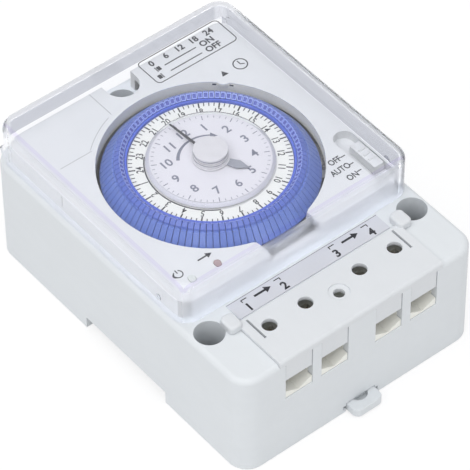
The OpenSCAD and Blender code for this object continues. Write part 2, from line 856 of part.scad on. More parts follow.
module mid_plate() {
    color([0.84, 0.74, 0.46])
        difference() {
            block(plate_x0, 4, plate_y0, plate_y1, mid_z0, mid_z1);
            post(0, dial_y, arbor_r + run, mid_z0 - 1, mid_z1 + 1);
            post(motion_x, dial_y, pivot_r + run, mid_z0 - 1, mid_z1 + 1);
            for (y = [pillar_y0, pillar_y1])
                post(pillar_x0, y, pillar_ru + fit, mid_z0 - 1, mid_z1 + 1);
        }
}

module top_plate() {
    color([0.84, 0.74, 0.46])
        difference() {
            block(plate_x0, plate_x1, plate_y0, plate_y1, top_z0, top_z1);
            post(0, dial_y, tube_r + 0.02, top_z0 - 1, top_z1 + 1);
            post(motion_x, dial_y, pivot_r + run, top_z0 - 1, top_z1 + 1);
            post(0, idler_y, pivot_r + run, top_z0 - 1, top_z1 + 1);
            for (x = [pillar_x0, pillar_x1], y = [pillar_y0, pillar_y1])
                post(x, y, 1.1, top_z0 - 1, top_z1 + 1);
        }
}

// Stepped pillars between the plates
module plate_pillars() {
    color([0.78, 0.78, 0.8])
        for (x = [pillar_x0, pillar_x1], y = [pillar_y0, pillar_y1])
            difference() {
                union() {
                    post(x, y, pillar_r, bot_z1, mid_z0);
                    post(x, y, pillar_ru, mid_z0 - 0.1, top_z0);
                }
                post(x, y, 1.05, top_z0 - 6, top_z0 + 1);
            }
}

// Screws holding the top plate
module plate_screws() {
    color([0.7, 0.71, 0.73])
        for (x = [pillar_x0, pillar_x1], y = [pillar_y0, pillar_y1])
            difference() {
                union() {
                    post(x, y, 1, top_z0 - 5, top_z1 + 0.2);
                    post(x, y, 2.1, top_z1, top_z1 + 1.1);
                }
                block(x - 3, x + 3, y - 0.3, y + 0.3, top_z1 + 0.6, top_z1 + 2);
            }
}

// Lever pressed by the tappets at the time mark
module trip_lever() {
    color([0.88, 0.86, 0.78])
        difference() {
            union() {
                block(nose_x - 1.2, lever_px, nose_y - 1.5, nose_y + 1.5, lever_z0, lever_z1);
                block(nose_x - 1.2, nose_x + 1.2, nose_y - 1.5, nose_y + 1.5, lever_z0, tap_z0 - 1.2);
                rod_y(nose_x, nose_y - 1.5, nose_y + 1.5, tap_z0 - 1.6, 1.2);
                rod_y(lever_px, nose_y - 1.5, nose_y + 1.5, lever_pz, 1.6);
            }
            rod_y(lever_px, nose_y - 3, nose_y + 3, lever_pz, 1 + run);
        }
}

module lever_pin() {
    color([0.75, 0.75, 0.77])
        rod_y(lever_px, nose_y - 3, nose_y + 3, lever_pz, 1);
}

// Bracket under the switch with ears for the lever pin
module switch_bracket() {
    color([0.3, 0.32, 0.36])
        difference() {
            union() {
                block(sw_x0, lever_px + 1.6, nose_y - 3, nose_y + 3, sw_z0 - 1.5, sw_z0);
                for (s = [-1, 1]) {
                    block(sw_x0, sw_x0 + 2, nose_y + s * 2 - 1, nose_y + s * 2 + 1, board_z1, sw_z0 - 1);
                    block(lever_px - 0.4, lever_px + 1.6, nose_y + s * 2 - 1, nose_y + s * 2 + 1, board_z1,
                        sw_z0 - 1);
                }
                for (s = [-1, 1])
                    block(lever_px - 1.6, lever_px + 1.6, nose_y + s * 2.4 - 0.6, nose_y + s * 2.4 + 0.6,
                        sw_z0 - 1, lever_pz + 1.8);
            }
            rod_y(lever_px, nose_y - 4, nose_y + 4, lever_pz, 1.02);
        }
}

// Snap switch under the lever
module switch_case() {
    color([0.16, 0.16, 0.18])
        difference() {
            block(sw_x0, sw_x1, nose_y - sw_hw, nose_y + sw_hw, sw_z0, sw_z1);
            post(plunger_x, nose_y, 0.9 + run, sw_z1 - 2.2, sw_z1 + 1);
        }
}

module switch_plunger() {
    color([0.75, 0.2, 0.18])
        post(plunger_x, nose_y, 0.9, sw_z1 - 1.4, lever_z0 - gap);
}

// Solder tabs of the switch
module switch_contacts() {
    color([0.8, 0.62, 0.4])
        for (x = tab_x)
            difference() {
                block(x - 0.3, x + 0.3, nose_y + sw_hw, nose_y + sw_hw + 4, sw_z0 + 1, sw_z0 + 4);
                rod_x(x - 2, x + 2, nose_y + sw_hw + 2.6, sw_z0 + 2.5, 0.6);
            }
}

// Mode slider with its arm to the lever
module mode_slider() {
    color([0.95, 0.95, 0.96]) {
        block(mode_x - 0.6, mode_x + mode_r - gap, mode_y - tile_l, mode_y + tile_l, pocket_z + 0.2,
            face_z - 0.1);
        for (y = [-2.2, 0, 2.2])
            block(mode_x, mode_x + 2.2, mode_y + y - 0.35, mode_y + y + 0.35, face_z - 0.2, face_z + 0.3);
        block(mode_x, mode_x + 2.2, mode_y - 1.6, mode_y + 1.6, deck_z + 0.4, pocket_z + 0.3);
        block(mode_x, mode_x + 1.5, mode_y - 1.6, nose_y - 7, deck_z + 0.4, deck_z + 1.9);
    }
}

// Boards and their parts
module main_board() {
    color([0.18, 0.42, 0.26])
        union() {
            block(board_x0, board_x1, board_y0, board_y2, board_z, board_z1);
            block(board_x0, ihw - 2.8, board_y1, board_y2, board_z, board_z1);
        }
}

module indicator_board() {
    color([0.18, 0.42, 0.26])
        block(-face_hw + 3.4, led_x1 + 4.6, face_y0 + face_wall + 0.2, led_y + 2.6, deck_z, ind_z1);
}

module lamp(x) {
    post(x, led_y, led_r, ind_z1, face_z + 0.1);
    post(x, led_y, led_r + 0.4, ind_z1, ind_z1 + 1);
}

module output_led() {
    color([0.5, 0.25, 0.22])
        lamp(led_x1);
}

module power_led() {
    color([0.3, 0.5, 0.3])
        lamp(led_x2);
}

module backup_cell() {
    color([0.75, 0.76, 0.78])
        post(can_x, cell_y, cell_r, board_z1, board_z1 + 5.4);
}

module dropper_capacitor() {
    color([0.75, 0.6, 0.2])
        block(board_x0 + 1.2, board_x1 - 1, film_y0, film_y1, board_z1, board_z1 + 12);
}

module smoothing_capacitor() {
    color([0.15, 0.2, 0.4])
        post(can_x, board_my, can_r, board_z1, board_z1 + 14);
}

module power_resistor() {
    color([0.5, 0.62, 0.6])
        rod_x(-12, 6, board_my, board_z1 + 2.6, 2.6);
}

// Straight stretch of wire between two bends, along one axis
module wire_leg(a, b) {
    d = b - a;
    u = d / norm(d);
    h = norm(d) - 1.5 * wire_r;
    turn = abs(d[2]) > 0 ? [u[2] > 0 ? 0 : 180, 0, 0] : [-90 * u[1], 90 * u[0], 0];
    translate(a + u * 0.75 * wire_r)
        rotate(turn)
            cylinder(h = h, r = wire_r);
}

// Wire with a sleeve at each bend
module wire_run(pts) {
    for (i = [0 : len(pts) - 2])
        wire_leg(pts[i], pts[i + 1]);
    for (p = pts)
        post(p[0], p[1], bend_r, p[2] - bend_r, p[2] + bend_r);
}

// Wires from the terminal bars to the board and the switch
module lead_wires() {
    y = part_y + wall + 2.4;
    zt = bar_z1 + bend_r;
    zs = sw_z0 + 2.5;
    zb = board_z1 + bend_r;
    xl = (board_x0 + board_x1) / 2;
    xb = board_x1 - 2;
    xr = (lever_px + 1.6 + ihw) / 2;
    ys = nose_y + sw_hw + 5.2;
    zl = zt - 4;
    color([0.8, 0.8, 0.82]) {
        wire_run([[-term_x2, y, zt], [xl, y, zt], [xl, wire_y, zt], [xl, wire_y, zb]]);
        wire_run([[-term_x1, y, zt], [-term_x1, wire_y, zt], [xb, wire_y, zt], [xb, wire_y, zb]]);
        wire_run([[term_x2, y, zt], [xr, y, zt], [xr, ys, zt], [xr, ys, zs], [tab_x[2], ys, zs]]);
        wire_run([[term_x1, y, zt], [term_x1, y + 3, zt], [term_x1, y + 3, zl], [xr, y + 3, zl],
            [xr, ys, zl], [tab_x[1], ys, zl], [tab_x[1], ys, zs]]);
    }
}

rear_case();
housing();
face_plate();
clear_cover();
terminal_cover();
terminal_label();
terminal_block();
terminal_screws();
wire_clamps();
terminal_bars();
case_screws();
din_latch();
program_ring();
dial_hub();
tappets();
tappet_a();
tappet_b();
tappet_c();
day_dial();
clock_face();
face_tube();
hour_hand();
minute_hand();
setting_knob();
minute_arbor();
minute_wheel();
hour_wheel();
motion_wheel();
day_idler();
motor_pinion();
motor_case();
bottom_plate();
mid_plate();
top_plate();
plate_pillars();
plate_screws();
trip_lever();
lever_pin();
switch_bracket();
switch_case();
switch_plunger();
switch_contacts();
mode_slider();
main_board();
indicator_board();
output_led();
power_led();
backup_cell();
dropper_capacitor();
smoothing_capacitor();
power_resistor();
lead_wires();
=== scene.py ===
"""Looks of a mechanical 24 hour time switch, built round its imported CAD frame."""

import json
import math

import bmesh
import bpy
from mathutils import Matrix, Vector


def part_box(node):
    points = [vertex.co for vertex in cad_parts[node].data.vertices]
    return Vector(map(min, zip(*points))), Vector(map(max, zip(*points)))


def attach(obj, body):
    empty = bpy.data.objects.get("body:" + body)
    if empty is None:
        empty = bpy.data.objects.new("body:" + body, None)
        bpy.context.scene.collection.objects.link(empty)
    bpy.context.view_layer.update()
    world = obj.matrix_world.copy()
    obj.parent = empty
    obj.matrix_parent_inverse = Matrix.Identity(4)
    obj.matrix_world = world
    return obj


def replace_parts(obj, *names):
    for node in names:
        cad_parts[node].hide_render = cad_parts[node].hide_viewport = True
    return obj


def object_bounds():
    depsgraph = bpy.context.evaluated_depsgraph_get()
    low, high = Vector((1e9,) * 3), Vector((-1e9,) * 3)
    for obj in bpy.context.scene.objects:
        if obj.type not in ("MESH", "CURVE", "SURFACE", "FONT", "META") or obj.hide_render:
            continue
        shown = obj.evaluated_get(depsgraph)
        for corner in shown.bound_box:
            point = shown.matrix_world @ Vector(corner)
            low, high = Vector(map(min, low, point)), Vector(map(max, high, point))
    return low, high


bl_info = {
    "name": "Time switch looks",
    "version": (1, 0, 0),
    "blender": (4, 5, 0),
    "location": "View3D > Sidebar > Time switch",
    "description": "Finishes, print and fine parts of a mechanical 24 hour time switch",
    "category": "Object",
}

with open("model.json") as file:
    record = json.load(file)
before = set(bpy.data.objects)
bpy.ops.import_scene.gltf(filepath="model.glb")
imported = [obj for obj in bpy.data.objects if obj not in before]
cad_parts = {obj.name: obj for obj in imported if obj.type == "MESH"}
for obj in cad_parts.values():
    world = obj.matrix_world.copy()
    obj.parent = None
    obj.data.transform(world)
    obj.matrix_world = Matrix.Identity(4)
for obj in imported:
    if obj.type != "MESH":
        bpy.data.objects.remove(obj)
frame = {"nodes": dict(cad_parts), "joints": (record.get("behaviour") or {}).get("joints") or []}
cad_box = [list(corner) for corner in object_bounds()]

MM = 0.001
JOINTS = {joint["name"]: joint for joint in frame["joints"]}


def span(node):
    """Lowest and highest corner of a CAD node, in millimetres."""
    low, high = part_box(node)
    return Vector(low) / MM, Vector(high) / MM


def half_width(node):
    """Half the width of a CAD node, a round one's radius, in millimetres."""
    low, high = span(node)
    return (high.x - low.x) / 2


# Dial, ring and knob, in millimetres
DIAL = Vector(JOINTS["dial_spin"]["pos_m"]) / MM
RING_R = half_width("tappets")
RING_LOW, RING_TOP = (corner.z for corner in span("tappets"))
RIM_R = RING_R - 7.0
RIDGE_R = RING_R - 4.1
DAY_TOP = span("day_dial")[1].z
CLOCK_R = half_width("clock_face")
CLOCK_LOW, CLOCK_TOP = (corner.z for corner in span("clock_face"))
KNOB_R = half_width("setting_knob")
KNOB_TOP = span("setting_knob")[1].z
BOSS_R = KNOB_R + 0.4

# Tappets, with the gap at each side, and the three that ride on bodies of their own
TAPPETS = 96
TAPPET_GAP = 0.08
MOVING_TAPPETS = {
    55: ("tappet_a", "first_tappet"),
    56: ("tappet_b", "second_tappet"),
    57: ("tappet_c", "third_tappet"),
}

# Case, face plate and label, which lies on the deck, in millimetres
FACE_LOW, FACE_HIGH = span("face_plate")
FACE_TOP = FACE_HIGH.z
OPENING_R = 32.3
WALL_SKIN = 0.2
LABEL_LOW, LABEL_HIGH = span("terminal_label")
LABEL_Y = (LABEL_LOW.y + LABEL_HIGH.y) / 2
DECK = LABEL_LOW.z
WELLS = (Vector((-36.2, -31.1)), Vector((36.2, -31.1)), Vector((0, 53.9)))
WELL_R = 4.4

# Place on the mode slider that its words and lines are set out from
SLIDER = span("mode_slider")[0] + Vector((0.6, 5.4, 0))

# Clear cover: its walls, where they begin inside and below its top, and where the painted light inside its
# edges begins, in millimetres
COVER_LOW, COVER_HIGH = span("clear_cover")
COVER_WALL = 1.6
COVER_INSIDE = 1.9
COVER_BELOW = 2.8
COVER_LIGHT_LINE = 1.1
COVER_CATCH = Vector((COVER_HIGH.x, -15.0, 40.7))

# Camera fitted to the photograph of 470 by 470 pixels, in degrees and millimetres
CAMERA_AZIMUTH = -38.573
CAMERA_ELEVATION = 47.237
CAMERA_ROLL = -0.638
CAMERA_AIM = Vector((0, 4, 28.378))
CAMERA_DISTANCE = 1008.95
CAMERA_RIGHT = 0.842
CAMERA_DOWN = 4.712
CAMERA_LENS = 274.67

# Two small lamps low in front of the object and the floor's gap under it, in metres and degrees
PANEL_DISTANCE = 1.2
PANEL_RISE = 30
PANEL_SIZE = 0.15
FLOOR_GAP = 0.0002


def srgb(red, green, blue):
    """Linear colour of an 8 bit screen colour."""
    scaled = [value / 255 for value in (red, green, blue)]
    return tuple(v / 12.92 if v <= 0.04045 else ((v + 0.055) / 1.055) ** 2.4 for v in scaled)


def tone(name, description, *colour):
    """Colour property with a screen colour as default."""
    return bpy.props.FloatVectorProperty(name=name, description=description, subtype="COLOR", min=0.0,
                                         max=1.0, default=srgb(*colour))


def length(name, description, millimetres):
    """Length property with a default in millimetres."""
    return bpy.props.FloatProperty(name=name, description=description, unit="LENGTH", min=0.0,
                                   default=millimetres * MM)


class SwitchColours(bpy.types.PropertyGroup):
    """Colours of the time switch."""

    case: tone("Case", "Grey white of both shells", 229, 233, 236)
    face: tone("Face", "White of the face plate and slider", 216, 217, 217)
    lid: tone("Lid", "White of the terminal lid", 227, 230, 233)
    # Painted light: the plate's outer walls get a lighter white than its top
    face_side: tone("Face walls", "Lighter white of the plate's outer walls", 248, 249, 250)
    # Painted light: a warm lighter white that offsets the blue light the ring throws on the wall round the
    # dial
    dial_wall: tone("Dial wall", "Warm white of the wall round the dial", 255, 250, 226)
    label: tone("Label", "Lavender grey of the printed strip", 214, 216, 223)
    label_edge: tone("Label edge", "Grey line at the strip's far edge", 120, 120, 132)
    ivory: tone("Terminal block", "Ivory of the terminal block", 251, 251, 243)
    ring: tone("Ring", "Deep blue of the program ring", 72, 98, 200)
    tappet: tone("Tappets", "Blue of the quarter hour tappets", 92, 119, 196)
    tappet_ridge: tone("Tappet ridges", "Deeper blue of the tappets' ridges", 78, 103, 190)
    # Painted light: a paler copy of the tappets' blue on their inner slopes
    tappet_slope: tone("Tappet slopes", "Paler blue of the tappets' slopes", 160, 178, 248)
    # Painted shade: a darker copy of the tappets' blue in their recesses
    tappet_eye: tone("Tappet eyes", "Dark blue of the tappets' recesses", 88, 102, 188)
    day: tone("Day disc", "White of the 24 hour disc", 232, 232, 226)
    clock: tone("Clock disc", "Pale lavender of the 12 hour disc", 219, 217, 221)
    clear: tone("Clear plastic", "Tint of the clear cover's top", 249, 250, 253)
    # Painted shade: grey on the far and right walls of the cover
    clear_wall: tone("Clear walls", "Tint of the cover's far and right walls", 204, 206, 213)
    # Painted light: a lavender line inside the cover's near edges
    clear_line: tone("Clear edge lines", "Lavender line inside the cover's near edges", 232, 226, 250)
    knob: tone("Knob", "Tint of the knob and the hands' bosses", 229, 227, 229)
    black_ink: tone("Black ink", "Print on the 24 hour disc, face and label", 38, 38, 44)
    grey_ink: tone("Grey ink", "Print on the clock disc", 122, 124, 138)
    hour_hand: tone("Hour hand", "Grey of the hour hand", 150, 152, 160)
    minute_hand: tone("Minute hand", "Dark grey of the minute hand", 60, 60, 66)
    output_lamp: tone("Output lamp", "Dull red of the unlit output lamp", 160, 138, 138)
    power_lamp: tone("Power lamp", "Pale green of the unlit power lamp", 206, 210, 206)
    steel: tone("Steel", "Zinc plated steel", 196, 198, 202)
    # Painted shade: a darker steel for the screws deep in their holes
    dull_steel: tone("Dull steel", "Dark steel of the terminal screws", 84, 91, 100)
    brass: tone("Brass", "Bright brass", 214, 184, 118)
    copper: tone("Copper", "Bright copper", 208, 146, 106)
    gear: tone("Gear plastic", "Natural plastic of the gears", 232, 229, 218)
    motor: tone("Motor", "Steel of the motor's case", 168, 170, 176)
    bracket: tone("Bracket", "Dark paint of the switch bracket", 82, 86, 96)
    switch: tone("Switch", "Black of the switch's case", 44, 44, 50)
    plunger: tone("Plunger", "Red of the switch's plunger", 190, 58, 52)
    board: tone("Board", "Green of the boards", 38, 92, 56)
    track: tone("Tracks", "Lighter green over the tracks", 58, 122, 76)
    cell: tone("Cell", "Steel of the backup cell", 190, 192, 196)
    film: tone("Film capacitor", "Ochre of the dropper capacitor", 206, 168, 72)
    sleeve: tone("Capacitor sleeve", "Blue of the capacitor's sleeve", 52, 64, 112)
    resistor: tone("Resistor", "Grey green of the power resistor", 138, 164, 160)
    wire: tone("Wires", "Pale grey of the wires", 206, 206, 210)
    floor: tone("Floor", "Pale floor", 238, 238, 238)


class SwitchSizes(bpy.types.PropertyGroup):
    """Sizes of the time switch that only the looks use."""

    edge: length("Edge", "Softening of the moulded edges", 0.3)
    fine_edge: length("Fine edge", "Softening of small edges", 0.12)
    clear_edge: length("Clear edge", "Softening of the clear cover's edges", 0.04)
    tappet_edge: length("Tappet edge", "Softening of the tappets' edges", 0.09)
    ink_rise: length("Ink rise", "Height of print above its surface", 0.03)
    day_numeral: length("Day numeral", "Height of the 24 hour disc's numbers", 2.1)
    clock_numeral: length("Clock numeral", "Height of the 12 hour disc's numbers", 2.9)
    eye_border: length("Eye border", "Border round the recess in each tappet", 0.34)
    eye_draft: length("Eye draft", "How much narrower the recess is at its bottom", 0.03)
    eye_depth: length("Eye depth", "Depth of the recess in each tappet", 0.3)


def settings(context):
    """Colours and sizes set in the scene."""
    return context.scene.switch_colours, context.scene.switch_sizes


class Sock:
    """Output of a shader node that takes part in Python arithmetic."""

    def __init__(self, finish, socket):
        self.finish = finish
        self.socket = socket

    def maths(self, operation, first, second):
        return self.finish.node("ShaderNodeMath", {0: first, 1: second}, operation=operation)

    def __add__(self, other):
        return self.maths("ADD", self, other)

    __radd__ = __add__

    def __sub__(self, other):
        return self.maths("SUBTRACT", self, other)

    def __rsub__(self, other):
        return self.maths("SUBTRACT", other, self)

    def __mul__(self, other):
        return self.maths("MULTIPLY", self, other)

    __rmul__ = __mul__

    def __gt__(self, other):
        return self.maths("GREATER_THAN", self, other)

    def __lt__(self, other):
        return self.maths("LESS_THAN", self, other)

    def clamp(self):
        return self.finish.node("ShaderNodeClamp", {"Value": self})


class Finish:
    """Node tree of a material or world under construction."""

    def __init__(self, data):
        data.use_nodes = True
        self.data = data
        self.tree = data.node_tree
        self.tree.nodes.clear()

    def node(self, kind, sockets=None, out=0, **values):
        """Adds a node, sets its values, feeds its sockets and returns one output, if it has any."""
        made = self.tree.nodes.new(kind)
        for key, value in values.items():
            setattr(made, key, value)
        for key, value in (sockets or {}).items():
            if isinstance(value, Sock):
                self.tree.links.new(value.socket, made.inputs[key])
            else:
                made.inputs[key].default_value = value
        return Sock(self, made.outputs[out]) if made.outputs else None

    def place(self):
        """Position in the frame, in metres."""
        return self.node("ShaderNodeTexCoord", out="Object")

    def noise(self, place, size, detail, stretch=(1, 1, 1)):
        """Noise with features of about the given size in millimetres."""
        scaled = self.node("ShaderNodeMapping", {"Vector": place, "Scale": stretch})
        return self.node("ShaderNodeTexNoise", {"Vector": scaled, "Scale": 1 / (size * MM), "Detail": detail})

    def axes(self, place):
        """The three coordinates of a position."""
        return [self.node("ShaderNodeSeparateXYZ", {0: place}, letter) for letter in "XYZ"]

    def away(self, place, spot):
        """Distance in plan from a spot given in millimetres."""
        flat = self.node("ShaderNodeMapping", {"Vector": place, "Scale": (1, 1, 0)})
        return self.node("ShaderNodeVectorMath", {0: flat, 1: (spot.x * MM, spot.y * MM, 0)}, "Value",
                         operation="DISTANCE")

    def ramp(self, value, start, end):
        """Value from 0 at the start to 1 at the end, both in millimetres."""
        return ((value - start * MM) * (1 / ((end - start) * MM))).clamp()

    def mix(self, factor, first, second):
        """Colour between two colours."""
        return self.node("ShaderNodeMix", {0: factor, 6: rgba(first), 7: rgba(second)}, 2, data_type="RGBA")

    def bump(self, height, depth, strength=0.5):
        """Normal of a surface with the given relief in millimetres."""
        return self.node("ShaderNodeBump", {"Height": height, "Distance": depth * MM, "Strength": strength})

    def ray(self, kind):
        """Fact about the light path that is followed."""
        return self.node("ShaderNodeLightPath", out=kind)

    def shader(self, sockets):
        return self.node("ShaderNodeBsdfPrincipled", sockets)

    def close(self, shader, kind="ShaderNodeOutputMaterial"):
        """Feeds the shader to the output and returns the material or world."""
        self.node(kind, {"Surface": shader})
        return self.data

    def surface(self, sockets):
        """Finished material with one shader."""
        return self.close(self.shader(sockets))


def rgba(colour):
    """Colour with alpha, or a socket as it is."""
    return colour if isinstance(colour, Sock) else (*colour[:3], 1.0)


def shade(colour, factor):
    """Darker or lighter version of a colour."""
    return tuple(min(1.0, value * factor) for value in colour[:3])


def new_finish(name):
    """Starts a material and gives the position on it."""
    finish = Finish(bpy.data.materials.new(name))
    return finish, finish.place()


def moulded(name, colour, rough=0.45, depth=0.012, cloud=0.04, coat=0.0, region=None):
    """Moulded plastic with faint clouds of colour, a fine grain and uneven gloss.

    A region is a function that recolours a part of it.
    """
    finish, place = new_finish(name)
    clouds = finish.noise(place, 14, 3)
    fine = finish.noise(place, 0.22, 1)
    flow = finish.noise(place, 3, 2, (1, 0.3, 1))
    base = finish.mix(0.6 * clouds + 0.4 * flow, shade(colour, 1 - cloud), shade(colour, 1 + cloud))
    if region:
        base = region(finish, place, base)
    return finish.surface({
        "Base Color": base,
        "Roughness": rough - 0.06 + 0.08 * clouds + 0.06 * fine,
        "Coat Weight": coat,
        "Coat Roughness": 0.2,
        "Normal": finish.bump(fine + 0.3 * flow, depth),
    })


def inner_region(radius, colour):
    """Colour of what lies within a radius of the dial's middle."""
    return lambda finish, place, base: finish.mix(finish.away(place, DIAL) > radius * MM, colour, base)


def well_region(colour):
    """Painted shade that darkens the screw wells towards their bottom."""
    def recolour(finish, place, base):
        height = finish.axes(place)[2]
        sunk = finish.ramp(height, DECK - 0.3, DECK - 9)
        for well in WELLS:
            inside = finish.away(place, well) < (WELL_R + 0.1) * MM
            base = finish.mix(sunk * inside, base, colour)
        return base
    return recolour


def side_region(colour, round_wall_light):
    """Painted light: lighter colours on the outer walls of the face plate and on the wall round the dial."""
    def recolour(finish, place, base):
        x, y, z = finish.axes(place)
        left = x < (FACE_LOW.x + WALL_SKIN) * MM
        right = x > (FACE_HIGH.x - WALL_SKIN) * MM
        front = y < (FACE_LOW.y + WALL_SKIN) * MM
        walls = finish.mix((left + right + front).clamp(), base, colour)
        # Painted light on the wall round the dial
        opening = finish.away(place, DIAL) < (OPENING_R + 0.1) * MM
        return finish.mix(opening * (z < (FACE_TOP - WALL_SKIN) * MM), walls, round_wall_light)
    return recolour


def metal(name, colour, rough=0.3):
    """Metal with fine drawn lines and faint tarnish."""
    finish, place = new_finish(name)
    lines = finish.noise(place, 0.8, 2, (1, 12, 12))
    clouds = finish.noise(place, 5, 3)
    return finish.surface({
        "Base Color": finish.mix(clouds, shade(colour, 0.88), colour),
        "Metallic": 1.0,
        "Roughness": rough - 0.08 + 0.16 * lines + 0.08 * clouds,
        "Normal": finish.bump(lines, 0.006),
    })


def clear_plastic(name, colour, rough, wall, line):
    """Clear plastic that lets light fall through, with faint wiping marks.

    In the cover, the far and right walls have a grey tint of painted shade and all four a haze, and a
    coloured line of painted light runs inside the left and front edges of its top.
    """
    finish, place = new_finish(name)
    marks = finish.noise(place, 2.5, 3, (1, 0.2, 1))
    x, y, z = finish.axes(place)
    low = finish.ramp(z, COVER_HIGH.z - COVER_WALL, COVER_HIGH.z - COVER_BELOW)
    right = finish.ramp(x, COVER_HIGH.x - COVER_INSIDE, COVER_HIGH.x - COVER_WALL)
    far = finish.ramp(y, COVER_HIGH.y - COVER_INSIDE, COVER_HIGH.y - COVER_WALL)
    left = finish.ramp(x, COVER_LOW.x + COVER_INSIDE, COVER_LOW.x + COVER_WALL)
    front = finish.ramp(y, COVER_LOW.y + COVER_INSIDE, COVER_LOW.y + COVER_WALL)
    # Painted light: a line inside the left and front edges of the top
    left_light, front_light = ((value > (edge + COVER_LIGHT_LINE) * MM) * (value < (edge + COVER_INSIDE) * MM)
                             for value, edge in ((x, COVER_LOW.x), (y, COVER_LOW.y)))
    # Painted shade: the far and right walls below the top take the grey wall tint
    base = finish.mix((right + far).clamp() * low, colour, wall)
    glass = finish.shader({
        "Base Color": finish.mix((left_light + front_light).clamp() * (1 - low), base, line),
        "Roughness": rough + 0.03 * marks + (0.22 * left + 0.6 * front + 0.2 * (right + far)) * low,
        "IOR": 1.08,
        "Transmission Weight": 1.0,
        "Coat Weight": 1.0,
        "Coat IOR": 1.4,
        "Coat Roughness": 0.02,
    })
    through = finish.node("ShaderNodeBsdfTransparent", {"Color": rgba(colour)})
    shadow = finish.ray("Is Shadow Ray")
    return finish.close(finish.node("ShaderNodeMixShader", {0: shadow, 1: glass, 2: through}))


def cloudy_plastic(name, colour):
    """Cloudy plastic of the knob, pale with milky streaks and a clear coat."""
    finish, place = new_finish(name)
    milk = finish.noise(place, 3, 3)
    return finish.surface({
        "Base Color": finish.mix(milk, shade(colour, 0.93), shade(colour, 1.05)),
        "Roughness": 0.16 + 0.08 * milk,
        "IOR": 1.49,
        "Transmission Weight": 0.1,
        "Coat Weight": 0.5,
        "Coat Roughness": 0.08,
    })


def ink(name, colour):
    """Printed ink with slightly uneven cover."""
    finish, place = new_finish(name)
    cover = finish.noise(place, 0.5, 2)
    return finish.surface({
        "Base Color": finish.mix(cover, shade(colour, 0.85), shade(colour, 1.15)),
        "Roughness": 0.42 + 0.15 * cover,
    })


def printed_film(name, colour):
    """Label film with a fine print raster."""
    finish, place = new_finish(name)
    raster = finish.noise(place, 0.35, 1)
    clouds = finish.noise(place, 8, 2)
    return finish.surface({
        "Base Color": finish.mix(0.5 * raster + 0.5 * clouds, shade(colour, 0.95), shade(colour, 1.05)),
        "Roughness": 0.3 + 0.12 * clouds,
        "Normal": finish.bump(clouds, 0.02, 0.3),
    })


def circuit_board(name, colour, track):
    """Green board with copper tracks under the mask."""
    finish, place = new_finish(name)
    tracks = finish.noise(place, 2.2, 0, (1, 0.35, 1))
    weave = finish.noise(place, 0.3, 1)
    return finish.surface({
        "Base Color": finish.mix(tracks > 0.52, colour, track),
        "Roughness": 0.32 + 0.14 * weave,
        "Normal": finish.bump(tracks + 0.2 * weave, 0.03),
    })


def dress(finish, *nodes):
    """Gives CAD nodes a finish."""
    for node in nodes:
        for slot in frame["nodes"][node].material_slots:
            slot.material = finish


def soften(node, width, segments=2, angle=28):
    """Softens the edges of a CAD node with modifiers."""
    part = frame["nodes"][node]
    part.data.polygons.foreach_set("use_smooth", [True] * len(part.data.polygons))
    part.modifiers.new("join", "WELD").merge_threshold = 1e-6
    flat = part.modifiers.new("flat", "DECIMATE")
    flat.decimate_type = "DISSOLVE"
    flat.angle_limit = math.radians(0.5)
    bevel = part.modifiers.new("edges", "BEVEL")
    bevel.width = width
    bevel.segments = segments
    bevel.limit_method = "ANGLE"
    bevel.angle_limit = math.radians(angle)
    part.modifiers.new("even", "WEIGHTED_NORMAL")


def put(name, data):
    """Adds an object to the scene."""
    made = bpy.data.objects.new(name, data)
    bpy.context.scene.collection.objects.link(made)
    return made


def mesh_of(name, shape):
    """Mesh of a shape that is done."""
    mesh = bpy.data.meshes.new(name)
    shape.to_mesh(mesh)
    shape.free()
    return mesh


def add_piece(name, shape, finishes, body, smooth=False):
    """Turns a shape into a piece that rides on a body."""
    bmesh.ops.recalc_face_normals(shape, faces=shape.faces)
    for face in shape.faces:
        face.smooth = smooth
    mesh = mesh_of(name, shape)
    for finish in finishes:
        mesh.materials.append(finish)
    piece = put(name, mesh)
    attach(piece, body)
    return piece


def round_dial(radius, degrees):
    """Place on the dial at a radius and an angle."""
    turn = math.radians(degrees)
    return Vector((DIAL.x + radius * math.cos(turn), DIAL.y + radius * math.sin(turn)))


